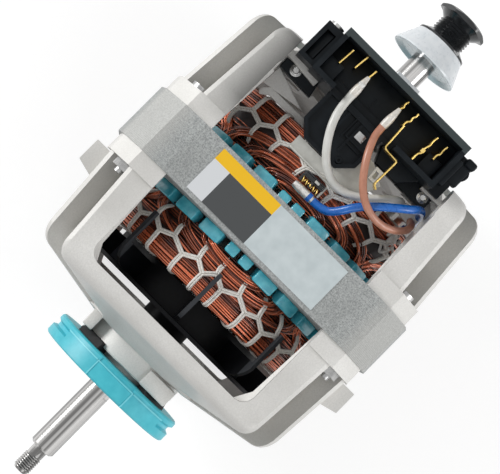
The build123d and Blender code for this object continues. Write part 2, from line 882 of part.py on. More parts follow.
def lever_ears():
    """Two ears under the tray that hold the lever's pin."""
    x, z = lever_pivot()
    ear = box_between((switch_right - 1, lever_width / 2 + 0.4, z - lever_eye_radius),
                      (x + lever_eye_radius, lever_width / 2 + 2.4, z + lever_eye_radius))
    ears = ear + mirror(ear, about=Plane.XZ)
    hole = Pos(x, 0, z) * Rot(90, 0, 0) * Cylinder(lever_pin_radius, 40)
    return ears - hole


def switch_housing():
    housing = switch_tray() + switch_partitions() + switch_lobe() + switch_wings() + lever_ears()
    for x, y in wing_screw_places():
        housing -= Pos(x, y, wing_rim) * Cylinder(wing_screw_radius, 30)
    return Pos(stack_mid, 0, 0) * housing


def switch_lever():
    """A hanging lever: its eye turns on the pin and its foot stands beside the shaft's top."""
    x, z = lever_pivot()
    outline = Pos(x, z) * Circle(lever_eye_radius - 0.4)
    outline += make_face(Polyline([(x, z - 1.8), (x + 1.4, z + 1.5), (x + 5.2, z - 5.0),
                                   (x + 7.2, z - lever_drop), (x + 5.7, z - lever_drop), (x + 4.1, z - 5.5)],
                                  close=True))
    outline -= Pos(x, z) * Circle(lever_pin_radius + lever_pin_gap)
    lever = extrude(Plane.XZ * outline, lever_width / 2, both=True)
    return Pos(stack_mid, 0, 0) * lever


def lever_pin():
    x, z = lever_pivot()
    return Pos(stack_mid + x, 0, z) * Rot(90, 0, 0) * Cylinder(lever_pin_radius, lever_width + 5)


def terminals():
    """Brass blades that stand on the tray's floor."""
    blades = []
    for y, left, right in (
        (26.0, 68.5, 76.5), (20.0, 71.0, 77.5), (13.7, 68.5, 76.5), (-3.9, 68.5, 76.5),
        (-10.0, 66.5, 76.5), (-21.5, 62.0, 76.5), (-27.9, 71.0, 76.5),
    ):
        blades.append(box_between((left, y - blade_thickness / 2, blade_foot),
                                  (right, y + blade_thickness / 2, blade_top)))
    return Pos(stack_mid, 0, 0) * Compound(children=blades)


def contact_strip():
    """The long brass strip, bent twice, that leaves the tray over its left wall."""
    line = Polyline([(66.5, -10.0), (55.8, -10.0), (55.8, -18.0), (44.8, -18.0), (43.4, -19.6)])
    flat = trace(line, strip_thickness)
    return Pos(stack_mid, 0, 0) * upright(flat, lobe_rim + 0.2, strip_height)


def screws():
    """The screws of the switch: one through each wing, one in the side block."""
    pieces = []
    for x, y in wing_screw_places():
        head = upright(Circle(wing_screw_head), wing_rim, 1.6)
        shank = upright(Circle(wing_screw_radius), shelf_top - wing_screw_depth,
                        wing_rim - shelf_top + wing_screw_depth)
        pieces.append(Pos(x, y, 0) * (head + shank))
    return Pos(stack_mid, 0, 0) * Compound(children=pieces)


def side_screw():
    screw = along_x(Circle(3.2), side_block_right, 2.3)
    return Pos(stack_mid, (switch_high + side_block_high) / 2, side_block_rim - 9) * screw


def rating_sticker():
    half = sticker_length / 2
    return box_between((stack_mid - half, -sticker_half_width, stack_half_width),
                       (stack_mid + half, sticker_half_width, stack_half_width + sticker_thickness))


def lead_guard():
    """A pale plate that keeps the leads off the coil head."""
    points = [(30.5, 17.2), (lobe_left - 0.2, 17.2), (lobe_left - 0.2, lobe_low - 0.2), (43.0, lobe_low - 0.2),
              (43.0, -17.0), (36.0, -20.0), (30.5, -9.6)]
    plate = upright(make_face(Polyline(points, close=True)), coil_top, guard_thickness)
    return Pos(stack_mid, 0, 0) * plate


def thermal_protector():
    """A small block with a round capsule along its side, lying on the coil head."""
    left = protector_left
    right = left + protector_length
    body = box_between((left, protector_low, coil_top), (right, protector_high, coil_top + protector_height))
    body = fillet(body.edges().filter_by(Axis.Y), 1.2)
    length = protector_high - protector_low
    capsule = Pos(capsule_place, protector_low + length / 2, coil_top + capsule_radius + 0.3) * (
        Rot(90, 0, 0) * Cylinder(capsule_radius, length))
    return Pos(stack_mid, 0, 0) * (body + capsule)


# Leads, held at both ends: their points are chosen by hand along each route

white_route = [
    (65.0, 13.7, 64.5), (57.2, 13.7, 64.5), (49.2, 11.8, 66.6), (41.6, 7.5, 66.6),
    (35.3, 1.8, 64.8), (32.3, -4.9, 62.4), (32.6, -12.0, 61.5), (36.3, -18.5, 61.4), (41.2, -23.7, 61.0),
    (45.6, -28.2, 57.6), (47.9, -31.4, 51.4), (48.4, -32.7, 42.6), (48.3, -33.0, 33.4), (40.5, -33.0, 33.4),
]
brown_route = [
    (65.0, -3.9, 64.5), (59.2, -3.9, 64.5), (54.6, -5.0, 67.4), (48.7, -7.4, 69.8), (41.9, -11.8, 70.6),
    (36.3, -17.3, 70.5), (33.4, -23.7, 69.0), (33.3, -30.6, 65.2), (36.2, -37.0, 61.0), (40.4, -41.2, 56.5),
    (44.6, -41.4, 51.0), (45.6, -39.6, 44.6), (45.9, -38.7, 38.0), (46.3, -38.5, 31.6), (46.3, -38.5, 25.4),
    (40.5, -38.5, 25.4),
]
blue_route = [
    (21.6, -5.0, 60.26), (21.6, -11.4, 60.26), (26.0, -15.6, 63.2), (31.8, -19.0, 65.6), (37.0, -24.0, 66.1),
    (42.4, -30.2, 65.6), (47.0, -35.8, 62.6), (50.2, -38.9, 57.8), (50.4, -40.9, 52.4), (48.9, -41.7, 46.4),
    (47.9, -42.2, 39.6), (47.2, -43.2, 32.0), (46.9, -43.5, 24.2), (46.9, -43.6, 16.6), (40.5, -43.6, 16.6),
]


def bend_radii(route):
    """For each corner, 0.45 of the shorter run beside it over the tangent of half the turn."""
    points = [Vector(*p) for p in route]
    radii = []
    for before, here, after in zip(points, points[1:], points[2:]):
        turn = (here - before).get_angle(after - here)
        shorter = min((here - before).length, (after - here).length)
        radii.append(0.45 * shorter / tan(radians(turn) / 2))
    return radii


def lead(name, route, radius):
    radii = bend_radii(route)
    path = FilletPolyline(*route, radius=radii)
    section = Plane(origin=path @ 0, z_dir=path % 0) * Circle(radius)
    cable = sweep(section, path=path)
    expected = pi * radius ** 2 * path.length
    print(f"{name}: length {path.length:.1f} mm, volume over section times length {cable.volume / expected:.3f},"
          f" bend radii {[round(r, 1) for r in radii]}")
    return Pos(stack_mid, 0, 0) * cable


def lead_connectors():
    """Push-on connectors that carry the white and the brown lead to their blades."""
    pieces = []
    for route, radius in ((white_route, white_lead_radius), (brown_route, brown_lead_radius)):
        x, y, _ = route[0]
        low = blade_top - connector_below_blade - connector_height / 2
        shell = box_between((x, y - connector_width / 2, low),
                            (x + connector_length, y + connector_width / 2, low + connector_height))
        blade_slot = box_between((x - 1, y - blade_thickness / 2, low - 1),
                                 (x + connector_length + 1, y + blade_thickness / 2, blade_top))
        pieces.append(fillet(shell.edges().filter_by(Axis.X), 0.9) - blade_slot)
    return Pos(stack_mid, 0, 0) * Compound(children=pieces)


parts = {
    "stator_core": stator_core(),
    "slot_liners": slot_liners(),
    "stator_winding": stator_winding(),
    "coil_turns_blower": on_blower_side(coil_turns("coil_turns_blower", coil_depth_blower, turns_blower)),
    "coil_turns_pulley": on_pulley_side(coil_turns("coil_turns_pulley", coil_depth_pulley, turns_pulley)),
    "lacing_blower": on_blower_side(lacing(coil_depth_blower)),
    "lacing_pulley": on_pulley_side(lacing(coil_depth_pulley)),
    "end_frame_blower": blower_frame(),
    "end_frame_pulley": pulley_frame(),
    "through_bolts": through_bolts(),
    "bolt_nuts": bolt_nuts(),
    "bearing_blower": on_blower_side(bearing()),
    "bearing_pulley": on_pulley_side(bearing()),
    "retainer_blower": on_blower_side(bearing_retainer()),
    "retainer_pulley": on_pulley_side(bearing_retainer()),
    "felt_wick_blower": on_blower_side(felt_wick()),
    "felt_wick_pulley": on_pulley_side(felt_wick()),
    "ring_sleeve_blower": on_blower_side(ring_sleeve(hub_face_depth_blower + spigot_length_blower)),
    "ring_sleeve_pulley": on_pulley_side(ring_sleeve(hub_face_depth_pulley + spigot_length_pulley)),
    "mounting_ring_blower": on_blower_side(mounting_ring(hub_face_depth_blower + spigot_length_blower)),
    "mounting_ring_pulley": on_pulley_side(mounting_ring(hub_face_depth_pulley + spigot_length_pulley)),
    "shaft": shaft(),
    "rotor_core": rotor_core(),
    "rotor_end_rings": rotor_end_rings(),
    "thrust_washer_blower": on_blower_side(thrust_washer(fan_hub_end)),
    "thrust_washer_pulley": on_pulley_side(thrust_washer(fan_hub_end)),
    "fan": fan(),
    "pulley": pulley(),
    "actuator_cone": actuator_cone(),
    "actuator_spring": actuator_spring(),
    "governor_carrier": governor_carrier(),
    "governor_weight_front": governor_weight(),
    "governor_weight_rear": Rot(180, 0, 0) * governor_weight(),
    "switch_housing": switch_housing(),
    "switch_lever": switch_lever(),
    "lever_pin": lever_pin(),
    "switch_terminals": terminals(),
    "contact_strip": contact_strip(),
    "switch_screws": screws(),
    "side_screw": side_screw(),
    "rating_sticker": rating_sticker(),
    "lead_guard": lead_guard(),
    "thermal_protector": thermal_protector(),
    "white_lead": lead("white_lead", white_route, white_lead_radius),
    "brown_lead": lead("brown_lead", brown_route, brown_lead_radius),
    "blue_lead": lead("blue_lead", blue_route, blue_lead_radius),
    "lead_connectors": lead_connectors(),
}

for name, shape in parts.items():
    export_step(shape, f"parts/{name}.step")
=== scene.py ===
# %% [markdown]
# # Dryer motor: looks
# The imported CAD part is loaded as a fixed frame, and this file gives it its looks.
# Places are written in millimetres. They count along X from the middle of the
# stator stack, because that is where the photo's measures were taken from.

# %% Load the frame
import math
import random

import bpy
from mathutils import Matrix, Vector


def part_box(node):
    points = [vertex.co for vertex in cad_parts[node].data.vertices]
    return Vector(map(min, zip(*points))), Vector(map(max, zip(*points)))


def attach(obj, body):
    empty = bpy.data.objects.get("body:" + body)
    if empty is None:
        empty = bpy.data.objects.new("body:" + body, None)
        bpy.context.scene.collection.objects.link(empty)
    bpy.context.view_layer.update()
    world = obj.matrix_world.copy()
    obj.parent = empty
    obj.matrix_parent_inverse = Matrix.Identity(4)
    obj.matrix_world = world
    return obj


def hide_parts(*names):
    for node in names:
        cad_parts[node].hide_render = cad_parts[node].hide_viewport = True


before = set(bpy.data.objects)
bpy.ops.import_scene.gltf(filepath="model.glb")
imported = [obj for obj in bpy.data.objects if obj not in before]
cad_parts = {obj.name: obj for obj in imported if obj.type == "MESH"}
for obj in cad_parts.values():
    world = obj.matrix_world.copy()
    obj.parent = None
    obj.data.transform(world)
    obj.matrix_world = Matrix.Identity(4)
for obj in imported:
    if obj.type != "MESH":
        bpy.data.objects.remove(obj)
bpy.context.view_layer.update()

MM = 0.001
stack_low, stack_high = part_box("stator_core")
MID = (stack_low[0] + stack_high[0]) / 2
STACK_HALF = (stack_high[0] - stack_low[0]) / 2 / MM
print(f"the stack's middle is at {MID:.4f} m, and it is {2 * STACK_HALF:.1f} mm long")

# %% [markdown]
# ## Places
# A motor is built round one axis. So two helpers say where a thing is: one takes
# X, Y and Z, the other a place along the shaft, a radius and an angle round it.

# %% Places
def at(x, y, z):
    """A point in metres from millimetres counted from the stack's middle."""
    return Vector((MID + x * MM, y * MM, z * MM))


def round_axis(x, radius, degrees):
    """A point at a place along the shaft, a radius, and an angle from +Z towards +Y."""
    turn = math.radians(degrees)
    return at(x, radius * math.sin(turn), radius * math.cos(turn))


# %% [markdown]
# ## Camera
# The photo looks down on the switch side, from a little towards the blower end,
# with the shaft turned 45 degrees in the picture. The camera is built from three
# directions, so its roll is an angle that can be read and changed.

# %% Camera
ROLL = math.radians(45.1)
camera_place = at(-47.5, 28.0, 750.0)
camera_target = at(-2.8, 0.2, 0.0)
ahead = (camera_target - camera_place).normalized()
right = Vector((math.cos(ROLL), -math.sin(ROLL), 0))
right = (right - ahead * right.dot(ahead)).normalized()
up = right.cross(ahead)
bpy.ops.object.camera_add()
camera = bpy.context.object
camera.matrix_world = Matrix.Translation(camera_place) @ Matrix((right, up, -ahead)).transposed().to_4x4()
camera.data.sensor_width = 36.0
camera.data.lens = 124.5
camera.data.clip_start = 0.05
camera.data.clip_end = 10.0
bpy.context.scene.camera = camera
print(f"the camera stands {(camera_target - camera_place).length:.3f} m from the motor")

# %% [markdown]
# ## Selecting and settling
# Every piece is modelled with Blender's own operators, as by hand. An operator
# acts on all that is selected, so each helper clears the selection first. A
# finished piece keeps its place in its mesh, and its object stays at the origin.

# %% Selecting and settling
def select(*pieces):
    """Leave edit mode and select just these objects, with the first as the active one."""
    if bpy.context.mode != "OBJECT":
        bpy.ops.object.mode_set(mode="OBJECT")
    bpy.ops.object.select_all(action="DESELECT")
    for piece in pieces:
        piece.select_set(True)
    if pieces:
        bpy.context.view_layer.objects.active = pieces[0]


def settle(piece):
    """Put the object's place and turn into its mesh."""
    select(piece)
    bpy.ops.object.transform_apply(location=True, rotation=True, scale=True)


def as_mesh(piece):
    """Make a mesh of a curve."""
    select(piece)
    bpy.ops.object.convert(target="MESH")
    return bpy.context.object


def join(pieces):
    """Make one mesh of several."""
    select(*pieces)
    bpy.ops.object.join()
    return bpy.context.object


def erase(*pieces):
    """Remove pieces that only served to make others."""
    select(*pieces)
    bpy.ops.object.delete()


def turned_copy(piece, degrees):
    """A copy with its own mesh, turned round the shaft from +Z towards +Y."""
    copy = piece.copy()
    copy.data = piece.data.copy()
    bpy.context.collection.objects.link(copy)
    copy.rotation_euler.x = -math.radians(degrees)
    settle(copy)
    return copy


# %% [markdown]
# ## Edges, finish and body
# No real edge is perfectly sharp, so most pieces get a narrow bevel that catches
# the light. Then a piece gets its name, its finish and the body it moves with.

# %% Edges, finish and body
def apply(piece, modifier):
    """Put what a modifier does into the mesh for good."""
    select(piece)
    bpy.ops.object.modifier_apply(modifier=modifier.name)


def smooth(piece, degrees=35):
    """Shade a piece smooth, apart from the edges that are sharper than an angle."""
    select(piece)
    bpy.ops.object.shade_smooth_by_angle(angle=math.radians(degrees))
    return piece


def soften(piece, width, segments=2, angle=40):
    """Round a piece's sharp edges, with the width in millimetres."""
    bevel = piece.modifiers.new("edge", "BEVEL")
    bevel.width = width * MM
    bevel.segments = segments
    bevel.limit_method = "ANGLE"
    bevel.angle_limit = math.radians(angle)
    apply(piece, bevel)
    return smooth(piece)


def dress(piece, name, material, body="motor_frame", stands_for=()):
    """Name a piece, give it its finish, and let it ride on its body."""
    piece.name = name
    piece.data.name = name
    piece.data.materials.clear()
    piece.data.materials.append(material)
    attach(piece, body)
    if stands_for:
        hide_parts(*stands_for)
    print(f"{name}: {len(piece.data.polygons)} faces, rides on {body}")


# %% [markdown]
# ## Boxes
# Moulded shelves, ribs and lugs are boxes. Each starts as a cube between two
# corners. A sunk panel takes two insets, a border and then a step down, and they
# only act on the face that is wanted, so it is picked by the way it faces.

# %% Boxes
def box_between(low, high):
    """A plain box from one corner to the other."""
    select()
    low, high = at(*low), at(*high)
    bpy.ops.mesh.primitive_cube_add(size=1, location=(low + high) / 2, scale=high - low)
    piece = bpy.context.object
    settle(piece)
    return piece


def inset_faces(piece, wanted, *steps):
    """Inset the faces whose normal passes the test, in steps of (border, rise)."""
    select(piece)
    bpy.ops.object.mode_set(mode="EDIT")
    bpy.ops.mesh.select_mode(type="FACE")
    bpy.ops.mesh.select_all(action="DESELECT")
    bpy.ops.object.mode_set(mode="OBJECT")
    for face in piece.data.polygons:
        face.select = wanted(face.normal)
    bpy.ops.object.mode_set(mode="EDIT")
    for border, rise in steps:
        bpy.ops.mesh.inset(thickness=border * MM, depth=rise * MM)
    bpy.ops.object.mode_set(mode="OBJECT")


def block(low, high, edge, recess=0.0, border=0.0):
    """A box with softened edges, and a sunk panel on its top if asked."""
    piece = box_between(low, high)
    if recess:
        inset_faces(piece, lambda normal: normal.z > 0.9, (border, 0.0), (0.05, -recess))
    return soften(piece, edge)


def blocks(*rows):
    """Boxes from rows of low corner, high corner and edge, with a panel if a row goes on."""
    return [block(*row) for row in rows]


# %% [markdown]
# ## Lines and tubes
# Wires and cords start as a line through points, and so does every outline. A
# curve can give the line a round section. It is made a mesh before it is used.

# %% Lines and tubes
def add_line(curve, points, order=0, closed=False, swell=None):
    """Put a line through points in metres into a curve: smooth with an order, else straight."""
    spline = curve.splines.new("NURBS" if order else "POLY")
    spline.points.add(len(points) - 1)
    for i, (point, place) in enumerate(zip(spline.points, points)):
        point.co = (*place, 1)
        if swell:
            point.radius = swell[i]
    spline.use_cyclic_u = closed
    if order:
        spline.order_u = order
        spline.use_endpoint_u = not closed
    spline.use_smooth = True


def show(curve):
    """Put a curve into the scene as an object."""
    piece = bpy.data.objects.new("line", curve)
    bpy.context.collection.objects.link(piece)
    return piece


def tubes(paths, radius=0.0, order=3, sides=1, steps=4, closed=False, swell=None):
    """Round wires along paths in metres, or bare lines where no radius is given."""
    curve = bpy.data.curves.new("line", "CURVE")
    curve.dimensions = "3D"
    curve.bevel_depth = radius * MM
    curve.bevel_resolution = sides
    curve.resolution_u = steps
    curve.use_fill_caps = radius > 0
    for path in paths:
        add_line(curve, path, order, closed, swell)
    return as_mesh(show(curve))


# %% [markdown]
# ## Turned shapes
# Shaft, rings and screw heads are all round, so an outline is spun round an axis,
# as on a lathe. A spin can leave a seam or turn a shape inside out, so doubled
# points are merged, and then all faces are made to point outwards.

# %% Turned shapes
def lathe(profile, steps, middle=0.0, sweep=360.0, closed=False):
    """Spin a (place along X, radius) outline all round the shaft, or through a part turn."""
    first = middle - sweep / 2
    piece = tubes([[round_axis(x, r, first) for x, r in profile]], order=0, closed=closed)
    bpy.ops.object.mode_set(mode="EDIT")
    bpy.ops.mesh.select_all(action="SELECT")
    bpy.ops.mesh.spin(steps=steps, angle=math.radians(sweep), center=(MID, 0, 0), axis=(1, 0, 0))
    bpy.ops.mesh.select_all(action="SELECT")
    bpy.ops.mesh.remove_doubles(threshold=1e-6)
    if sweep < 360:
        bpy.ops.mesh.fill_holes(sides=0)
        bpy.ops.mesh.select_all(action="SELECT")
    bpy.ops.mesh.normals_make_consistent(inside=False)
    bpy.ops.object.mode_set(mode="OBJECT")
    return smooth(piece)


# %% [markdown]
# ## Sheet
# Plates are cut from sheet and blades are bent from it. Both are drawn as seen
# from above and stood up between two heights. The curve's own bevel rounds them.

# %% Sheet
SHEET = 0.8


def stand_up(lines, low, high, edge, closed, order=0):
    """Give flat lines in X and Y a height, with their edges rounded."""
    curve = bpy.data.curves.new("outline", "CURVE")
    curve.dimensions = "2D"
    curve.fill_mode = "BOTH" if closed else "NONE"
    curve.extrude = ((high - low) / 2 - edge) * MM
    curve.bevel_depth = edge * MM
    curve.bevel_resolution = 1
    curve.resolution_u = 5
    if closed:
        curve.offset = -edge * MM
    for line in lines:
        add_line(curve, [at(x, y, 0) for x, y in line], order, closed)
    piece = show(curve)
    piece.location.z = (low + high) / 2 * MM
    piece = as_mesh(piece)
    settle(piece)
    return piece


def plate(outline, low, high, edge, holes=()):
    """A plate inside an outline, with holes if asked."""
    return smooth(stand_up([outline, *holes], low, high, edge, closed=True))


def plates(*rows):
    """Plates from rows of outline, low height, high height and edge."""
    return [plate(*row) for row in rows]


def ribbon(line, low, high, order=0):
    """A standing strip of sheet, bent along a line."""
    return smooth(stand_up([line], low, high, SHEET / 2, closed=False, order=order), degrees=40)


# %% [markdown]
# ## Materials
# A finish is a small tree of nodes. Written as sums it stays readable: a value of
# this class adds, subtracts and multiplies like a number, and each sign adds one
# Math node. Everything else comes from one method that takes a node's type.

# %% Node arithmetic
class Value:
    """What a socket gives, to be used in sums."""

    def __init__(self, owner, socket):
        self.owner = owner
        self.socket = socket

    def math(self, operation, other=0.0):
        return self.owner.node("ShaderNodeMath", {0: self, 1: other}, operation=operation)

    def __add__(self, other):
        return self.math("ADD", other)

    def __sub__(self, other):
        return self.math("SUBTRACT", other)

    def __mul__(self, other):
        return self.math("MULTIPLY", other)

    def __rsub__(self, other):
        return self * -1 + other

    __radd__ = __add__
    __rmul__ = __mul__

    def above(self, edge):
        return self.math("GREATER_THAN", edge)

    def sine(self):
        return self.math("SINE")

    def size(self):
        return self.math("ABSOLUTE")

    def spread(self, low, high, to_low=0.0, to_high=1.0):
        """Stretch the range from low to high over another range, and clip it there."""
        return self.owner.node("ShaderNodeMapRange", {0: self, 1: low, 2: high, 3: to_low, 4: to_high})


class NodeTree:
    """A tree of nodes that grows by one node at a time."""

    def __init__(self, tree):
        self.tree = tree

    def node(self, kind, inputs=None, output=0, **settings):
        """Add a node, first its settings and then its inputs, and give one of its outputs."""
        node = self.tree.nodes.new(kind)
        for key, value in settings.items():
            setattr(node, key, value)
        for key, value in (inputs or {}).items():
            self.feed(node.inputs[key], value)
        return Value(self, node.outputs[output])

    def feed(self, socket, value):
        """Link a value to a socket, or write a number, a vector or a colour into it."""
        if isinstance(value, Value):
            self.tree.links.new(value.socket, socket)
        elif socket.type == "RGBA" and len(value) == 3:
            socket.default_value = (*value, 1)
        else:
            socket.default_value = value


# %% [markdown]
# Each material starts from the object's own coordinates, because the motor's
# pieces keep their places in their meshes. So a pattern lines up from one piece
# to the next, and a border can be drawn where X, Y or the radius passes a limit.

# %% Paint
class Paint(NodeTree):
    """One procedural material, with its place in X, Y and Z at hand."""

    def __init__(self, name):
        self.material = bpy.data.materials.new(name)
        self.material.use_nodes = True
        super().__init__(self.material.node_tree)
        self.shader = self.tree.nodes["Principled BSDF"]
        self.place = self.node("ShaderNodeTexCoord", output="Object")
        split = self.node("ShaderNodeSeparateXYZ", {0: self.place}).socket.node
        self.x, self.y, self.z = (Value(self, socket) for socket in split.outputs)

    def noise(self, scale, detail=2.0, stretch=(1, 1, 1), roughness=0.5):
        spread = self.node("ShaderNodeVectorMath", {0: self.place, 1: stretch}, operation="MULTIPLY")
        return self.node("ShaderNodeTexNoise", {"Vector": spread, "Scale": scale, "Detail": detail,
                                                "Roughness": roughness})

    def mix(self, factor, first, second):
        return self.node("ShaderNodeMix", {0: factor, 6: first, 7: second}, output=2, data_type="RGBA")

    def mottled(self, dark, light, scale=300, detail=3):
        """Soft spots of two colours."""
        return self.mix(self.noise(scale, detail).spread(0.3, 0.7), dark, light)

    def beyond(self, radius):
        """1 where the shaft's axis is farther off than a radius in metres, and 0 elsewhere."""
        return (self.y * self.y + self.z * self.z).above(radius ** 2)

    def bump(self, height, depth):
        """Relief, with the depth in millimetres."""
        self.set("Normal", self.node("ShaderNodeBump", {"Height": height, "Strength": 1.0,
                                                        "Distance": depth * MM}))

    def set(self, name, value):
        self.feed(self.shader.inputs[name], value)

    def finish(self, roughness, metallic=0.0, coat=0.0, gloss=0.5):
        self.set("Roughness", roughness)
        self.set("Metallic", metallic)
        self.set("Coat Weight", coat)
        self.set("Specular IOR Level", gloss)
        return self.material


# %% [markdown]
# The end frames are die-cast alloy: pale, faintly grainy, and a little darker in
# broad patches. The stack's sheets show as fine lines across its edge, under a
# speckled varnish. Noise on the object's own coordinates gives all of these.

# %% Cast alloy and stack
def cast_alloy():
    """As-cast alloy: fine grain, darker in patches, with painted shade along the inside of one leg."""
    paint = Paint("cast_alloy")
    patches = paint.noise(28, 4).spread(0.3, 0.7)
    grain = paint.noise(1500, 4, roughness=0.7)
    colour = paint.mix(patches, (0.62, 0.61, 0.585), (0.78, 0.77, 0.745))
    colour = paint.mix(grain.spread(0.35, 0.75, 0.0, 0.45), colour, (0.46, 0.455, 0.43))
    # Painted shade: the inside of the leg beside the switch is darkened where it faces away from the light.
    inside = paint.y.spread(58 * MM, 42 * MM) * paint.y.above(0.0) * paint.z.above(60 * MM)
    inside = inside * (paint.x - MID).spread(14 * MM, 30 * MM)
    paint.set("Base Color", paint.mix(inside, colour, (0.085, 0.085, 0.080)))
    paint.bump(grain, 0.06)
    return paint.finish(patches * 0.12 + 0.42, 0.15)


def lamination():
    """The stack's edge: thin sheets along X under a worn varnish, paler on its corners."""
    paint = Paint("lamination")
    sheet = 0.7 * MM
    lines = (paint.x * (2 * math.pi / sheet)).sine()
    speck = paint.noise(1500, 3, roughness=0.75)
    fade = paint.noise(45, 3).spread(0.3, 0.7)
    corner = (paint.y.size() + paint.z.size()).spread(120 * MM, 124.5 * MM)
    colour = paint.mix(speck.spread(0.36, 0.66), (0.215, 0.228, 0.224), (0.50, 0.515, 0.51))
    colour = paint.mix(fade * 0.35, colour, (0.22, 0.23, 0.225))
    colour = paint.mix(corner * 0.55, colour, (0.43, 0.425, 0.405))
    paint.set("Base Color", colour)
    paint.bump(lines * 0.35 + speck, 0.07)
    return paint.finish(speck * -0.15 + 0.60, 0.25)


# %% [markdown]
# A ground bar has faint streaks along its length, and the broad dark and light bands drawn there are also
# painted reflection. Faint rings go round it, so one noise is stretched along X and another across it.
# Enamelled wire is clear varnish over copper. Its strands differ in shade, by a number that is written on
# each of them.

# %% Steel and copper
def steel_bar():
    """Ground bar with streaks along its length, and painted reflection in their dark and light bands."""
    paint = Paint("steel_bar")
    # Painted reflection: broad dark and light bands along the bar, partly real grinding streaks.
    streaks_and_painted_reflection = paint.noise(420, 3, stretch=(0.01, 1, 1)).spread(0.38, 0.62)
    rings = paint.noise(900, 2, stretch=(1, 0.02, 0.02))
    paint.set("Base Color", paint.mix(streaks_and_painted_reflection, (0.16, 0.158, 0.155), (0.60, 0.59, 0.58)))
    return paint.finish(rings.spread(0.3, 0.7, 0.19, 0.23), 1.0)


def copper_wire():
    """Enamelled wire: each strand has a shade of its own, darker where the varnish is thick."""
    paint = Paint("copper_wire")
    strand = paint.node("ShaderNodeAttribute", output="Fac", attribute_name="shade")
    varnish = paint.noise(160, 2).spread(0.3, 0.7, 0.0, 0.2)
    shade = strand.spread(0.25, 0.85, 0.0, 0.8) + varnish
    paint.set("Base Color", paint.mix(shade, (0.040, 0.005, 0.003), (0.86, 0.215, 0.090)))
    return paint.finish(0.27, 0.45, 0.7)


# %% [markdown]
# The sticker is a film with four fields of colour. Their borders are drawn where
# the place along X or Y passes a limit, which keeps them sharp at any size. The
# cord's fibres are a noise that is stretched along Z and also stands out a little.

# %% Sticker and cord
def sticker_print():
    """Silver film with a dark, a yellow and a white field."""
    paint = Paint("sticker_print")
    upper = paint.y.above(2.9 * MM)
    yellow = upper * (paint.x - MID).above(5.2 * MM)
    white = paint.y.above(26.2 * MM)
    silver = paint.mottled((0.52, 0.585, 0.60), (0.60, 0.665, 0.68), 200, 2)
    field = paint.mix(upper, silver, (0.050, 0.054, 0.056))
    field = paint.mix(white, field, (0.70, 0.72, 0.74))
    paint.set("Base Color", paint.mix(yellow, field, (0.90, 0.52, 0.008)))
    return paint.finish(0.42)


def cord_yarn():
    """Waxed cord with fine fibres."""
    paint = Paint("cord_yarn")
    fibre = paint.noise(1800, 3, stretch=(1, 1, 0.5))
    paint.set("Base Color", paint.mix(fibre.spread(0.3, 0.7), (0.64, 0.61, 0.56), (0.92, 0.90, 0.86)))
    paint.bump(fibre, 0.15)
    return paint.finish(0.6)


# %% [markdown]
# Rubber and plastic are even in colour but look lighter at some rims. The ring's raised borders and one rim
# of the switch carry a painted highlight, and the fan's outer edges are a little lighter. The rim is found
# by its distance from the shaft, or by its height.

# %% Rubber and plastics
def teal_rubber():
    """Teal rubber, with a painted highlight along the raised borders of its rim."""
    paint = Paint("teal_rubber")
    # Painted highlight on the raised borders of the rim.
    border = paint.beyond(34.9 * MM)
    colour = paint.mottled((0.045, 0.46, 0.56), (0.070, 0.53, 0.63))
    paint.set("Base Color", paint.mix(border * 0.5, colour, (0.30, 0.80, 0.88)))
    return paint.finish(0.40)


def fan_plastic():
    """Deep black, a little lighter and bluer on the outer edges of the disc and the vanes."""
    paint = Paint("fan_plastic")
    low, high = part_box("fan")
    edge = paint.beyond((high[1] - low[1]) / 2 - 0.8 * MM)
    colour = paint.mottled((0.0015, 0.0018, 0.0022), (0.004, 0.0045, 0.006))
    paint.set("Base Color", paint.mix(edge, colour, (0.040, 0.043, 0.048)))
    return paint.finish(0.42, gloss=0.12)


def switch_plastic():
    """Black moulded plastic, with a painted highlight on the uppermost rim of its outer wall."""
    paint = Paint("switch_plastic")
    # Painted highlight along the top rim of the outer wall.
    rim = paint.z.spread(69.2 * MM, 69.9 * MM) * (paint.x - MID).above(77 * MM)
    cloud = paint.noise(220, 3).spread(0.3, 0.7)
    colour = paint.mix(cloud, (0.006, 0.008, 0.010), (0.011, 0.014, 0.017))
    paint.set("Base Color", paint.mix(rim, colour, (0.052, 0.064, 0.066)))
    paint.bump(paint.noise(2500, 3), 0.012)
    return paint.finish(cloud * 0.1 + 0.34, gloss=0.12)


# %% [markdown]
# The other finishes need no drawing. Each has a darker and a lighter colour in
# soft spots, a roughness, and metal, clear coat or fine relief where it has them.

# %% All finishes
def plain(name, dark, light, roughness, metallic=0.0, coat=0.0, scale=300, relief=0.0, grain=2500,
          gloss=0.5):
    """A finish mottled between two colours, with a fine relief if asked."""
    paint = Paint(name)
    paint.set("Base Color", paint.mottled(dark, light, scale))
    if relief:
        paint.bump(paint.noise(grain, 3), relief)
    spread = paint.noise(scale * 2, 2).spread(0.3, 0.7, roughness - 0.05, roughness + 0.05)
    return paint.finish(spread, metallic, coat, gloss)


ALLOY = cast_alloy()
LAMINATION = lamination()
COPPER = copper_wire()
STEEL = steel_bar()
STICKER = sticker_print()
YARN = cord_yarn()
SWITCH_BLACK = switch_plastic()
ZINC = plain("zinc_plate", (0.30, 0.30, 0.30), (0.50, 0.50, 0.49), 0.28, 1.0)
TIN = plain("tinned_crimp", (0.50, 0.50, 0.48), (0.80, 0.79, 0.76), 0.32, 0.7,
            scale=900, relief=0.2, grain=1200)
LINER = plain("liner_film", (0.035, 0.42, 0.56), (0.13, 0.64, 0.76), 0.22, coat=0.6)
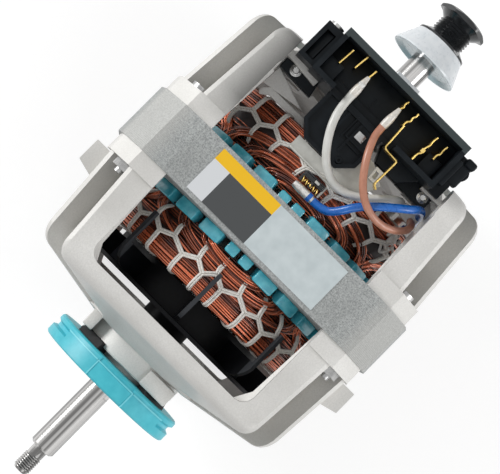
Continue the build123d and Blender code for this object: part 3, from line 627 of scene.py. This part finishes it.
# Painted shade: a near-black copper for the coil cores, seen between the strands.
PAINTED_SHADE_COPPER = plain("coil_painted_shade", (0.006, 0.003, 0.002), (0.020, 0.006, 0.004), 0.6)
TEAL = teal_rubber()
FAN_BLACK = fan_plastic()
BLACK = plain("black_plastic", (0.010, 0.011, 0.012), (0.022, 0.024, 0.027), 0.20, coat=0.35, gloss=0.3)
RUBBER = plain("black_rubber", (0.006, 0.006, 0.006), (0.014, 0.013, 0.013), 0.6, relief=0.05, gloss=0.3)
MILKY = plain("milky_plastic", (0.70, 0.74, 0.77), (0.80, 0.83, 0.85), 0.30, coat=0.3)
BRASS = plain("brass", (0.60, 0.40, 0.10), (0.92, 0.68, 0.24), 0.24, 0.9)
PALE = plain("pale_plastic", (0.50, 0.50, 0.46), (0.62, 0.62, 0.58), 0.5)
CLEAR_SLEEVE = plain("milky_sleeve", (0.60, 0.56, 0.50), (0.80, 0.77, 0.72), 0.25, coat=0.4, scale=900)
WHITE_JACKET = plain("white_jacket", (0.62, 0.62, 0.58), (0.70, 0.70, 0.67), 0.34)
BROWN_JACKET = plain("brown_jacket", (0.43, 0.185, 0.118), (0.52, 0.235, 0.155), 0.32)
BLUE_JACKET = plain("blue_jacket", (0.003, 0.095, 0.40), (0.006, 0.14, 0.54), 0.28)
print(f"{len(bpy.data.materials)} materials are at hand")

# %% [markdown]
# ## Finish of the CAD pieces
# The frames, the stack, the fan and the switch already have their full shape in
# the CAD part. They keep it and only get a finish. The list shows which share one.

# %% Finish of the CAD pieces
cad_finish = {
    ALLOY: ["end_frame_blower", "end_frame_pulley", "rotor_end_rings"],
    LAMINATION: ["stator_core", "rotor_core"],
    STEEL: ["lever_pin"],
    ZINC: ["through_bolts", "bolt_nuts", "ring_sleeve_blower", "ring_sleeve_pulley", "retainer_blower",
           "retainer_pulley", "governor_carrier", "governor_weight_front", "governor_weight_rear",
           "actuator_spring", "side_screw"],
    FAN_BLACK: ["fan"],
    BLACK: ["pulley"],
    SWITCH_BLACK: ["switch_housing"],
    MILKY: ["actuator_cone", "thrust_washer_blower", "thrust_washer_pulley", "switch_lever"],
    BRASS: ["switch_terminals", "contact_strip", "bearing_blower", "bearing_pulley"],
    STICKER: ["rating_sticker"],
    PALE: ["lead_guard"],
    YARN: ["felt_wick_blower", "felt_wick_pulley"],
}
for material, names in cad_finish.items():
    for name in names:
        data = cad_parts[name].data
        data.materials.clear()
        data.materials.append(material)
print(f"{sum(len(names) for names in cad_finish.values())} CAD nodes get a finish")

# %% [markdown]
# ## Shaft
# The shaft is a stepped bar, turned on a lathe: its outline is spun round the
# axis. The flat for the blower wheel is cut with a block turned to its side. The
# thread is a thin wire wound round the neck, as a cut one would need more faces.

# %% Shaft with flat and thread
NECK_END = -131.0
THREAD_START, THREAD_END = -142.9, -135.4
THREAD_TURNS = 7
STEPS_IN_A_TURN = 24

bar = lathe([
    (-144.0, 0), (-144.0, 3.0), (-143.2, 3.5), (-134.7, 3.5), (-134.5, 3.6), (NECK_END, 3.6),
    (NECK_END, 4.9), (NECK_END + 1, 5.95), (-93.7, 5.95), (-93.7, 6.35), (-33.0, 6.35), (-33.0, 8.0),
    (33.0, 8.0), (33.0, 6.35), (87.4, 6.35), (87.4, 5.75), (128.0, 5.75), (129.0, 4.75), (129.0, 0),
], steps=96)
upright_cutter = block((-133.0, -10, 5.45), (-97.0, 10, 9.0), 0.05)
cutter = turned_copy(upright_cutter, -60)
cut = bar.modifiers.new("flat", "BOOLEAN")
cut.operation = "DIFFERENCE"
cut.solver = "EXACT"
cut.object = cutter
apply(bar, cut)
erase(upright_cutter, cutter)

thread_steps = THREAD_TURNS * STEPS_IN_A_TURN
pitch = (THREAD_END - THREAD_START) / thread_steps
thread_line = [round_axis(THREAD_START + pitch * i, 3.62, i * 360 / STEPS_IN_A_TURN)
               for i in range(thread_steps + 1)]
thread = tubes([thread_line], 0.42, steps=1)
dress(join([bar, thread]), "shaft_bar", STEEL, body="rotor", stands_for=["shaft"])

# %% [markdown]
# ## Hub and drum
# The blower hub has a turned collar, and cast lugs in pairs that face each other
# across the shaft. So two lugs are modelled and copied by a half turn. A short
# drum behind the fan closes the gap through which light would fall.

# %% Hub lugs and fan drum
collar = lathe([(-80.4, 20), (-80.4, 24.4), (-80.0, 24.8), (-71.5, 24.9), (-71.5, 20)],
               steps=96, closed=True)
lugs = blocks(
    ((-79.0, 20.9, 12.0), (-70.2, 25.9, 23.0), 0.6),
    ((-80.6, -23.2, 12.0), (-73.0, -8.9, 25.2), 0.7),
)
lugs += [turned_copy(lug, 180) for lug in lugs]
dress(join([collar, *lugs]), "hub_lugs", ALLOY)

drum = lathe([(-51.0, 38.5), (-51.0, 40.0), (-38.6, 40.0), (-38.6, 38.5)], steps=64, closed=True)
dress(drum, "fan_drum", FAN_BLACK, body="rotor")

# %% [markdown]
# ## Mounting rings
# Each end of the motor sits in a rubber ring with a groove for the clamp. Panels
# fill the groove over part of the rim, and raised borders frame them. Everything
# here is an outline that is spun all round or through a part turn.

# %% Mounting rings
RING = [
    (0, 19.6), (0, 33.2), (0.8, 33.9), (2.6, 33.9), (3.6, 32.5), (5.2, 32.5), (6.2, 34.3), (9.7, 34.3),
    (10.4, 33.6), (10.4, 30.0), (8.6, 29.0), (8.6, 22.5), (10.4, 21.5), (10.4, 19.6),
]
MIDDLE_PANEL = [(2.6, 32.0), (2.6, 34.5), (3.0, 34.8), (9.6, 34.8), (10.0, 34.5), (10.0, 32.0)]
SIDE_PANEL = [(0.4, 32.0), (0.4, 34.0), (0.8, 34.3), (9.8, 34.3), (10.1, 34.0), (10.1, 32.0)]
SHORT_BORDER = [(2.4, 33.0), (2.4, 35.1), (10.2, 35.1), (10.2, 33.0)]
LONG_BORDER = [(2.2, 33.0), (2.2, 35.1), (2.8, 35.1), (2.8, 33.0)]
FOOT = [(0.2, 20.0), (-1.9, 20.0), (-1.9, 24.7), (-3.8, 24.7), (-3.8, 27.0), (0.2, 28.0)]


def ring_lathe(side, start, outline, steps, middle=0.0, sweep=360.0):
    """Spin an outline that counts from the ring's inner face, away from the motor."""
    return lathe([(side * (start + a), r) for a, r in outline], steps, middle, sweep, closed=True)


def mounting_ring(side, start):
    """One ring with its two groups of three panels."""
    pieces = [ring_lathe(side, start, RING, 120)]
    for middle in (0, 180):
        for outline, steps, sweep, offsets in (
            (MIDDLE_PANEL, 24, 32, (0,)),
            (SIDE_PANEL, 24, 35, (-33.5, 33.5)),
            (SHORT_BORDER, 2, 0.9, (-16.4, 16.4)),
            (LONG_BORDER, 24, 33.4, (-34, 0, 34)),
        ):
            pieces += [ring_lathe(side, start, outline, steps, middle + offset, sweep)
                       for offset in offsets]
    return join(pieces)


def ring_feet(side, start):
    """Four feet of black rubber between the ring and the hub."""
    return join([soften(ring_lathe(side, start, FOOT, 10, middle, 34), 0.4)
                 for middle in (-134, -46, 46, 134)])


for side, start, name in ((-1, 82.5, "blower"), (1, 76.2, "pulley")):
    ring = mounting_ring(side, start)
    dress(ring, "ring_rim_" + name, TEAL, stands_for=["mounting_ring_" + name])
    dress(ring_feet(side, start), "ring_feet_" + name, RUBBER)

# %% [markdown]
# ## Slot cuffs
# The liner of each slot is folded back over the stack's face as a puffy cuff. In
# the photo the two next to a pole's middle are narrow and the others are wide.
# One of each is modelled, with a sunk mouth, and copied round the four poles.

# %% Slot cuffs
CUFF_START = 12.5
CUFF_FOOT, CUFF_TOP = 51.4, 57.7
NARROW_ANGLES = (-3.8, 3.8)
WIDE_ANGLES = (-29.9, -15.4, 15.4, 29.9, 45)


def cuff(side, width, length):
    """One folded cuff over the front of the shaft, with a sunk mouth at its open end."""
    near, far = sorted((side * CUFF_START, side * (CUFF_START + length)))
    piece = box_between((near, -width / 2, CUFF_FOOT), (far, width / 2, CUFF_TOP))
    inset_faces(piece, lambda normal: normal.x * side > 0.9, (0.9, 0.5), (0.6, -1.6))
    return soften(piece, 0.9, segments=3, angle=30)


for side, name in ((-1, "blower"), (1, "pulley")):
    narrow = cuff(side, 5.4, 4.2)
    wide = cuff(side, 10.6, 5.0)
    cuffs = []
    for pole in (0, 90, 180, 270):
        cuffs += [turned_copy(narrow, pole + angle) for angle in NARROW_ANGLES]
        cuffs += [turned_copy(wide, pole + angle) for angle in WIDE_ANGLES]
    erase(narrow, wide)
    dress(join(cuffs), "slot_cuffs_" + name, LINER)
    print(f"{len(cuffs)} cuffs on the {name} side")
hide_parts("slot_liners")

# %% [markdown]
# ## Coil heads
# A core fills each coil head, painted near black as the shade between its wires. On it lie the wires that
# the photo shows. The first are rings round the outer end. Each wire is a smooth closed curve, a little off
# its neighbours, because no coil is wound in perfect rows.

# %% Coil cores and outer turns
BUNDLE_TOP = 57.6
STRAND = 0.37


def coil_core(side, depth):
    """The inside of one coil head, painted near black as shade, lower near the slots."""
    outline = [(5.0, 45.5), (5.0, 51.0), (9.0, 52.8), (15.0, 54.8), (depth - 4, 55.6), (depth - 1, 54.6),
               (depth - 0.6, 51.0), (depth - 0.6, 46.5), (depth - 3, 44.6)]
    return lathe([(side * (STACK_HALF + a), r) for a, r in outline], steps=96, closed=True)


def on_head(side, path):
    """Points from a path of depth into a coil head, radius and angle."""
    return [round_axis(side * (STACK_HALF + a), r, angle) for a, r, angle in path]


def strand_shades(piece, count, draw):
    """Write one shade for each of a piece's strands, which all have equally many points."""
    shade = piece.data.attributes.new("shade", "FLOAT", "POINT")
    each = len(piece.data.vertices) // count
    shades = [draw.random() for _ in range(count)]
    shade.data.foreach_set("value", [shades[min(i // each, count - 1)] for i in range(len(shade.data))])
    return piece


def ring_strands(side, depth, draw):
    """Closed rings of wire round the outside and the end of a coil head."""
    points = 32
    places = [(depth - 0.9 - k, BUNDLE_TOP + 0.05 * (k % 3)) for k in range(8)]
    places += [(depth - 0.4 - k, BUNDLE_TOP - 0.85) for k in range(9)]
    places += [(depth - 0.35 + 0.15 * (k % 2), BUNDLE_TOP - 1.4 - k) for k in range(10)]
    places += [(depth - 9.0 - k * 1.05, BUNDLE_TOP - 2.6 - 0.12 * k) for k in range(int(depth - 13))]
    paths = []
    for a, r in places:
        wobble = [(draw.uniform(-0.42, 0.42), draw.uniform(-0.35, 0.12)) for _ in range(points)]
        paths.append(on_head(side, [(a + wa, r + wr, i * 360 / points)
                                    for i, (wa, wr) in enumerate(wobble)]))
    return strand_shades(tubes(paths, STRAND, steps=3, closed=True), len(paths), draw)


# %% [markdown]
# The second kind are arcs. A wire leaves a cuff, bends over the middle of a pole
# and goes into the matching cuff on its other side. The arcs of the outer cuffs
# reach farther from the stack, so they lie one inside the other.

# %% Arcs over the poles
ARCS_A_POLE = 45
EXIT_ANGLES = (15.4, 29.9, 44.6)


def arc_strands(side, depth, draw):
    """Arcs over each pole, from a cuff on one side to the matching cuff on the other."""
    paths = []
    for pole in range(4):
        for i in range(ARCS_A_POLE):
            share = i / (ARCS_A_POLE - 1)
            within = (i * 3 % ARCS_A_POLE) / ARCS_A_POLE - 0.5
            exit_angle = EXIT_ANGLES[i * 3 // ARCS_A_POLE] + 6.0 * within + draw.uniform(-0.7, 0.7)
            reach = min(6.5 + share * 12.5 + draw.uniform(-0.45, 0.45), depth - 9.0)
            top = BUNDLE_TOP - 0.3 - 0.8 * (i % 3) + draw.uniform(-0.3, 0.3)
            foot = 53.2 + 0.9 * (i % 3) + draw.uniform(-0.4, 0.4)
            lean = draw.uniform(-1.5, 1.5)
            half = []
            for t in (0.0, 0.16, 0.34, 0.52, 0.70, 0.87):
                turn = math.radians(90 * t)
                a = 3.8 + (reach - 3.8) * math.sin(turn) ** 0.85
                r = foot + (top - foot) * min(1, t / 0.4)
                half.append((a, r, exit_angle * math.cos(turn)))
            path = [(a, r, -angle + lean * (1 - abs(angle) / 50)) for a, r, angle in half]
            path.append((reach, top, lean))
            path += [(a, r, angle + lean * (1 - abs(angle) / 50)) for a, r, angle in reversed(half)]
            paths.append(on_head(side, [(a, r, pole * 90 + angle) for a, r, angle in path]))
    return strand_shades(tubes(paths, STRAND, steps=3), len(paths), draw)


# %% [markdown]
# Both heads are now wound, and all chance comes from one source with a fixed
# start. So the motor comes out the same each time that the file is run.

# %% Wind both heads
draw = random.Random(7)
heads = ((-1, 25.2, "blower"), (1, 28.0, "pulley"))
cores = join([coil_core(side, depth) for side, depth, name in heads])
dress(cores, "coil_cores", PAINTED_SHADE_COPPER, stands_for=["stator_winding"])
for side, depth, name in heads:
    turns = ring_strands(side, depth, draw)
    dress(turns, "coil_rings_" + name, COPPER, stands_for=["coil_turns_" + name])
    dress(arc_strands(side, depth, draw), "coil_arcs_" + name, COPPER)

# %% [markdown]
# ## Lacing
# Waxed cord ties each coil head together. It is doubled, so a path becomes two
# lines side by side, each half a gap off to its own side.

# %% Doubled cord
CORD = 0.56
HALF_GAP = 0.5


def cord_pair(points):
    """Two cords side by side along points given as (depth, radius, angle)."""
    pair = []
    for shift in (-HALF_GAP, HALF_GAP):
        path = []
        for i, (a, r, angle) in enumerate(points):
            before = points[max(i - 1, 0)]
            after = points[min(i + 1, len(points) - 1)]
            along_a = after[0] - before[0]
            along_t = math.radians(after[2] - before[2]) * r
            length = math.hypot(along_a, along_t) or 1.0
            path.append((a - shift * along_t / length, r,
                         angle + math.degrees(shift * along_a / length / r)))
        pair.append(path)
    return pair


# %% [markdown]
# The cord runs in bands over the end of the head. A zigzag joins the bands, and a
# tail goes from each of its inner corners towards the stack. Where a band lies is
# read from the photo for the front. Round the back they are evenly spread.

# %% Lacing of both heads
KNOTS = {
    "blower": [-29.3, -17.6, -4.3, 5.5, 16.8, 31.0],
    "pulley": [-43.0, -29.0, -16.0, -2.0, 13.2, 26.8, 40.0],
}


def all_round(knots):
    """Carry the knots on round the rest of the head."""
    gap = knots[0] + 360 - knots[-1]
    count = round(gap / 13)
    return knots + [knots[-1] + gap * (i + 1) / count for i in range(count - 1)]


def head_lacing(side, depth, knots, draw):
    """All cord of one head: bands, tails and the zigzag between them."""
    paths = []
    top = BUNDLE_TOP + 0.9
    outer = depth - 8.0
    inner = depth - 11.2
    corners = []
    for i, angle in enumerate(knots):
        following = knots[(i + 1) % len(knots)] + (360 if i + 1 == len(knots) else 0)
        between = (angle + following) / 2 + draw.uniform(-0.8, 0.8)
        shift = draw.uniform(-0.5, 0.5)
        band = (outer + shift, top, angle)
        corner = (inner + shift, top - 0.2, between)
        corners += [band, corner]
        paths += cord_pair([band, (depth - 3.0, top, angle + draw.uniform(-0.6, 0.6)),
                            (depth + 0.1, top - 1.2, angle), (depth + 0.75, top - 4.0, angle),
                            (depth + 0.75, 50.0, angle), (depth - 0.5, 44.6, angle)])
        tail = inner - draw.uniform(5.0, 7.0)
        paths += cord_pair([corner, ((inner + tail) / 2, top - 0.5, between + 1),
                            (tail, 56.4, between + draw.uniform(0, 2)), (tail - 2, 53.5, between + 1.5)])
    corners.append((corners[0][0], corners[0][1], corners[0][2] + 360))
    for first, second in zip(corners, corners[1:]):
        middle = tuple((f + s) / 2 for f, s in zip(first, second))
        paths += cord_pair([first, middle, second])
    return tubes([on_head(side, path) for path in paths], CORD)


def knot(draw):
    """The tangle where the cord is tied off, at the edge of the pulley-side head."""
    loops = []
    for _ in range(7):
        middle = draw.uniform(16, 25)
        turn = draw.uniform(-48, -43)
        loops.append([round_axis(STACK_HALF + middle + draw.uniform(-3.5, 3.5), draw.uniform(57.4, 60.0),
                                 turn + draw.uniform(-3.5, 3.5)) for _ in range(6)])
    return tubes(loops, 0.6, steps=5, closed=True)


for side, depth, name in heads:
    cord = head_lacing(side, depth, all_round(KNOTS[name]), draw)
    if name == "pulley":
        cord = join([cord, knot(draw)])
    dress(cord, "lacing_cord_" + name, YARN, stands_for=["lacing_" + name])

# %% [markdown]
# ## Leads
# Three insulated leads cross the pulley end. Each follows the route of its solid
# as one smooth tube, so that no bend is sharper than a real wire could make.

# %% Leads
def tube(route, radius, **how):
    """One tube along a route in millimetres."""
    return tubes([[at(*place) for place in route]], radius, **how)


white_route = [
    (65.0, 13.7, 64.5), (57.2, 13.7, 64.5), (49.2, 11.8, 66.6), (41.6, 7.5, 66.6),
    (35.3, 1.8, 64.8), (32.3, -4.9, 62.4), (32.6, -12.0, 61.5), (36.3, -18.5, 61.4), (41.2, -23.7, 61.0),
    (45.6, -28.2, 57.6), (47.9, -31.4, 51.4), (48.4, -32.7, 42.6), (48.3, -33.0, 33.4), (40.5, -33.0, 33.4),
]
brown_route = [
    (65.0, -3.9, 64.5), (59.2, -3.9, 64.5), (54.6, -5.0, 67.4), (48.7, -7.4, 69.8), (41.9, -11.8, 70.6),
    (36.3, -17.3, 70.5), (33.4, -23.7, 69.0), (33.3, -30.6, 65.2), (36.2, -37.0, 61.0), (40.4, -41.2, 56.5),
    (44.6, -41.4, 51.0), (45.6, -39.6, 44.6), (45.9, -38.7, 38.0), (46.3, -38.5, 31.6), (46.3, -38.5, 25.4),
    (40.5, -38.5, 25.4),
]
blue_route = [
    (21.6, -5.0, 60.26), (21.6, -11.4, 60.26), (26.0, -15.6, 63.2), (31.8, -19.0, 65.6), (37.0, -24.0, 66.1),
    (42.4, -30.2, 65.6), (47.0, -35.8, 62.6), (50.2, -38.9, 57.8), (50.4, -40.9, 52.4), (48.9, -41.7, 46.4),
    (47.9, -42.2, 39.6), (47.2, -43.2, 32.0), (46.9, -43.5, 24.2), (46.9, -43.6, 16.6), (40.5, -43.6, 16.6),
]
for name, route, radius, jacket in (
    ("white_lead", white_route, 1.74, WHITE_JACKET),
    ("brown_lead", brown_route, 1.6, BROWN_JACKET),
    ("blue_lead", blue_route, 1.75, BLUE_JACKET),
):
    dress(tube(route, radius, sides=6, steps=8), name + "_jacket", jacket, stands_for=[name])

# %% [markdown]
# ## Blades
# Brass blades stand in the tray of the switch, and their bent edges catch the
# light. One long strip is folded twice along its way. Both are lines of sheet: the
# blades smooth, the strip with straight pieces, as a press folds it.

# %% Blades and bent strip
BLADE_FOOT = 58.0
blade_lines = [
    ([(67.7, 26.4), (70.0, 26.2), (72.5, 26.0), (75.5, 25.8)], 66.0),
    ([(70.6, 20.5), (73.0, 20.3), (75.5, 20.0), (77.4, 19.8)], 67.0),
    ([(68.5, 13.7), (72.0, 13.9), (74.0, 13.5), (75.9, 13.4)], 66.0),
    ([(68.5, -3.8), (72.2, -3.7), (73.4, -4.7), (75.0, -3.9), (76.6, -4.5)], 66.0),
    ([(68.0, -9.4), (70.2, -9.1), (71.4, -10.6), (73.2, -9.9), (74.4, -10.9), (75.9, -10.6)], 66.0),
    ([(61.1, -21.4), (64.3, -21.2), (65.6, -22.6), (67.6, -21.8), (70.4, -22.9), (72.2, -22.3),
      (74.7, -22.9)], 66.0),
    ([(67.1, -27.5), (69.4, -27.2), (70.6, -28.4), (72.6, -27.8), (74.7, -28.3)], 66.0),
]
blades = [ribbon(line, BLADE_FOOT, top, order=3) for line, top in blade_lines]
blades.append(block((65.6, -23.0, 65.0), (67.6, -21.2, 66.3), 0.4))
dress(join(blades), "blade_strips", BRASS, stands_for=["switch_terminals"])
strip = ribbon([(68.2, -9.7), (57.0, -10.4), (56.3, -11.0), (56.0, -17.2), (55.4, -17.8), (43.6, -17.6),
                (42.8, -18.2), (42.0, -19.6)], 62.6, 67.6)
dress(strip, "bent_strip", BRASS, stands_for=["contact_strip"])

# %% [markdown]
# ## Crimps and sleeves
# The white and the brown lead end in a crimp that holds on to a blade, under a
# milky sleeve that shrinks towards it. A tube with a radius for each point tapers.

# %% Crimps and sleeves
sleeves = [tube(route, radius, sides=4, steps=6, swell=swell) for route, radius, swell in (
    ([(62.6, 13.7, 64.6), (65.5, 13.75, 65.0), (68.5, 13.9, 65.3), (72.0, 13.8, 65.2)], 1.98,
     (0.96, 1.0, 0.72, 0.42)),
    ([(62.2, -3.9, 64.6), (65.5, -3.9, 64.9), (68.5, -3.9, 65.3), (72.0, -3.9, 65.2)], 1.9,
     (0.9, 1.0, 0.76, 0.45)),
)]
crimps = blocks(
    ((66.6, 12.3, 63.6), (69.0, 15.4, 66.9), 0.7),
    ((70.0, 13.0, 63.9), (72.4, 14.6, 66.0), 0.5),
    ((67.4, -5.1, 63.6), (69.2, -2.8, 66.5), 0.6),
    ((70.2, -4.6, 63.9), (72.3, -3.2, 65.9), 0.5),
)
dress(join(sleeves), "crimp_sleeves", CLEAR_SLEEVE)
dress(join(crimps), "crimp_barrels", TIN, stands_for=["lead_connectors"])

# %% [markdown]
# ## Switch trims
# The moulded switch carries shelves, thin ribs, a slot with a grey piece in it and
# a slanted panel at its side. Each is placed by the photo and sits on the housing.
# With no window the pivot setting is ignored, so the turn is given its own centre.

# %% Switch trims
def tilt(piece, degrees, centre):
    """Lean a piece over, round a line along X through its middle."""
    select(piece)
    bpy.ops.object.mode_set(mode="EDIT")
    bpy.ops.mesh.select_all(action="SELECT")
    bpy.ops.transform.rotate(value=math.radians(degrees), orient_axis="X", center_override=at(*centre))
    bpy.ops.object.mode_set(mode="OBJECT")


trims = blocks(
    ((60.3, -32.7, 57.4), (77.6, 30.7, 58.6), 0.3),
    ((60.2, -20.6, 58.4), (63.6, 22.6, 60.0), 0.2),
    ((61.2, 23.4, 58.4), (68.3, 30.7, 63.2), 0.35),
    ((60.4, -31.8, 58.4), (68.6, -24.6, 63.2), 0.35),
    ((63.6, 4.9, 58.4), (69.2, 5.4, 58.9), 0.1),
    ((47.9, 5.0, 60.4), (58.6, 5.5, 62.15), 0.12),
    ((49.2, -6.2, 60.4), (59.0, 4.4, 61.7), 0.15, 0.9, 0.7),
    ((47.4, -5.0, 60.4), (47.9, 2.0, 62.1), 0.12),
    ((59.6, -3.4, 61.0), (60.1, 1.4, 62.2), 0.12),
    ((62.6, -37.9, 57.6), (75.5, -35.0, 61.5), 0.5),
    ((66.0, -42.6, 54.0), (78.5, -35.2, 58.5), 1.0),
    ((75.6, -43.2, 50.5), (79.2, -38.0, 60.5), 1.1),
    ((61.4, 34.9, 63.2), (73.9, 38.9, 63.9), 0.2),
)
tilt(trims[-1], 16, (67.6, 36.9, 63.5))
dress(join(trims), "switch_trims", SWITCH_BLACK)
dress(block((51.4, -2.8, 60.6), (54.9, 1.3, 61.55), 0.3), "slot_piece", ZINC)

# %% [markdown]
# ## Screws of the switch
# Two screws hold the wings of the switch, and a small eyelet is moulded on its
# lobe. All three are turned shapes that stand upright. The lathe works along the
# shaft, so each is spun there, turned up on its end and then moved to its place.

# %% Screw heads and eyelet
def standing(profile, place, steps=32):
    """A turned shape whose axis stands up at a place, from a (height, radius) outline."""
    piece = lathe(profile, steps)
    piece.location.x = -MID
    settle(piece)
    piece.rotation_euler.y = math.radians(-90)
    settle(piece)
    piece.location = at(*place)
    settle(piece)
    return piece


eyelet = standing([(60.5, 0.7), (61.6, 0.7), (61.6, 1.3), (60.5, 1.6)], (40.5, -1.0, 0), steps=20)
dress(eyelet, "lobe_eyelet", SWITCH_BLACK)

HEAD = [(52.0, 0), (52.0, 2.5), (52.4, 2.5), (52.6, 2.0), (53.6, 1.9), (53.8, 1.5), (53.1, 1.1), (53.1, 0)]
screw_heads = join([standing(HEAD, (55.1, y, 0)) for y in (36.5, -36.5)])
dress(screw_heads, "wing_screw_heads", ZINC, stands_for=["switch_screws"])

# %% [markdown]
# ## Beside the switch
# Cast bars and tongues lie next to the wings, and black skirts hang below them.
# They are flat, with slanted outlines, so plates fit better than boxes.

# %% Wing bars and skirts
bars = plates(
    ([(57.6, 47.8), (60.6, 47.3), (58.4, 26.8), (55.6, 27.1)], 52.05, 54.7, 0.2),
    ([(56.8, -33.0), (59.4, -33.0), (59.9, -48.8), (57.1, -48.9)], 52.05, 54.7, 0.2),
    ([(43.0, 42.9), (52.4, 42.3), (46.0, 23.3)], 45.9, 47.4, 0.3),
    ([(43.0, -42.9), (52.4, -42.3), (46.0, -23.3)], 45.9, 47.4, 0.3),
    ([(41.2, 16.0), (44.4, 16.8), (44.0, 39.0), (41.7, 41.4), (39.4, 41.6), (38.6, 40.4), (41.0, 37.0)],
     45.9, 47.2, 0.3),
)
dress(join(bars), "wing_bars", ALLOY)
wing_skirts = plates(
    ([(52.1, 42.6), (56.6, 42.8), (58.6, 26.4), (51.4, 24.9)], 47.0, 51.9, 0.3),
    ([(51.2, -24.6), (58.6, -26.0), (58.6, -39.5), (51.2, -38.5)], 47.0, 51.9, 0.3),
    ([(50.8, -12.4), (58.6, -9.0), (58.6, -31.0), (50.9, -24.0)], 50.0, 57.4, 0.4),
)
dress(join(wing_skirts), "wing_skirts", SWITCH_BLACK)

# %% [markdown]
# ## Guard
# A pale guard keeps the leads off the winding. Its edge reaches under the lobe of
# the switch and carries a small bracket with a hole, so both are plates with an
# outline. A low wall along its other side is a thin box.

# %% Guard's edge and bracket
guard_more = [
    plate([(34.0, 1.0), (36.0, 1.0), (39.5, -2.0), (44.2, -7.8), (50.3, -9.6), (50.1, -12.2),
           (45.4, -20.5), (36.8, -17.5)], 58.08, 58.84, 0.1),
    plate([(44.0, -18.2), (49.9, -17.6), (49.9, -13.9), (44.0, -14.5)], 58.86, 60.2, 0.15,
          holes=[[(45.4, -17.0), (48.4, -16.7), (48.4, -15.0), (45.4, -15.4)]]),
    block((30.6, -9.4, 58.1), (31.3, 17.0, 60.0), 0.15),
]
dress(join(guard_more), "guard_edge", PALE)

# %% [markdown]
# ## Thermal protector
# A tinned capsule with tapered ends lies on the coil head, and the blue lead
# starts at it. Next to it a fine brass wire is coiled in a black seat with pale
# clips. The coil is a tube along a line that winds round as it goes on.

# %% Protector, its wire and its seat
def capsule_line(*places):
    """Points on the capsule's axis, given by their places along Y."""
    return [(21.6, y, 60.3) for y in places]


capsule = tube(capsule_line(5.4, 3.6, 0, -3.6, -5.2), 1.9, sides=6, steps=6,
               swell=(0.72, 1.0, 1.0, 1.0, 0.82))
dress(capsule, "protector_capsule", TIN, stands_for=["thermal_protector"])
band = tube(capsule_line(-2.2, -3.0, -4.0), 1.96, sides=6, steps=3)
dress(band, "protector_band", BLUE_JACKET)

winding = [(25.2 + 1.25 * math.cos(i * 0.9), 4.2 - 0.27 * i, 60.2 + 1.25 * math.sin(i * 0.9))
           for i in range(32)]
dress(tube(winding, 0.28), "protector_wire", BRASS)
seat = blocks(
    ((26.6, -5.3, 58.1), (29.3, 4.9, 60.4), 0.4, 0.7, 0.6),
    ((23.9, -0.8, 58.1), (27.0, 0.6, 61.4), 0.3),
    ((24.0, 3.9, 58.1), (29.0, 5.3, 59.6), 0.3),
)
dress(join(seat), "protector_seat", BLACK)
clips = blocks(
    ((23.8, -6.0, 58.1), (29.6, -5.0, 59.7), 0.3),
    ((27.4, -2.6, 60.2), (28.6, -0.4, 60.9), 0.2),
)
dress(join(clips), "protector_clips", PALE)

# %% [markdown]
# ## Light
# Even light comes from all round, and three lamps leave highlights on the metal.
# The world and the floor are white to the camera, in metal and through glass,
# because more light would whiten the floor too, but bleach the motor. The floor
# still takes a soft shadow.

# %% World and floor
EVEN_LIGHT = 0.40
FLOOR_HEIGHT = -70.6


def seen_directly(nodes):
    """1 for what the camera, a mirror or glass looks at, and 0 for light on its way."""
    straight, mirrored, through = (nodes.node("ShaderNodeLightPath", output=name)
                                   for name in ("Is Camera Ray", "Is Glossy Ray", "Is Transmission Ray"))
    return straight.math("MAXIMUM", mirrored).math("MAXIMUM", through)


world = bpy.data.worlds.new("white")
bpy.context.scene.world = world
world.use_nodes = True
sky = NodeTree(world.node_tree)
even = sky.node("ShaderNodeBackground", {"Color": (1, 1, 1), "Strength": EVEN_LIGHT})
white = sky.node("ShaderNodeBackground", {"Color": (1, 1, 1), "Strength": 1.0})
both = sky.node("ShaderNodeMixShader", {0: seen_directly(sky), 1: even, 2: white})
sky.feed(sky.tree.nodes["World Output"].inputs["Surface"], both)

select()
bpy.ops.mesh.primitive_plane_add(size=4.0, location=at(0, 0, FLOOR_HEIGHT))
floor = bpy.context.object
floor.name = "floor"
settle(floor)
ground = Paint("floor_paper")
ground.set("Base Color", (0.42, 0.42, 0.42))
ground.set("Emission Color", (1, 1, 1))
ground.set("Emission Strength", seen_directly(ground) * 0.66)
floor.data.materials.append(ground.finish(0.9, gloss=0.0))

# %% [markdown]
# A lamp is placed as seen in the picture: how far right, how far up, and how far
# towards the camera. The strongest stands at the top left, the weakest below.

# %% Lamps
def lamp(offset_right, offset_up, towards_camera, width, height, watts):
    """A lamp that faces the motor, with its offsets and its size in metres."""
    select()
    centre = at(0, 0, 0)
    place = centre + right * offset_right + up * offset_up - ahead * towards_camera
    bpy.ops.object.light_add(type="AREA", location=place)
    light = bpy.context.object
    light.data.shape = "RECTANGLE"
    light.data.size = width
    light.data.size_y = height
    light.data.energy = watts
    light.rotation_euler = (centre - place).to_track_quat("-Z", "Y").to_euler()
    print(f"a lamp of {watts} W at {(place - centre).length:.2f} m")


lamp(-0.70, 0.75, 0.50, 0.4, 0.4, 9.0)
lamp(0.80, -0.45, 0.35, 0.4, 0.5, 4.2)
lamp(0.0, -0.80, 0.50, 0.5, 0.4, 1.6)
bpy.context.scene.view_settings.view_transform = "Standard"
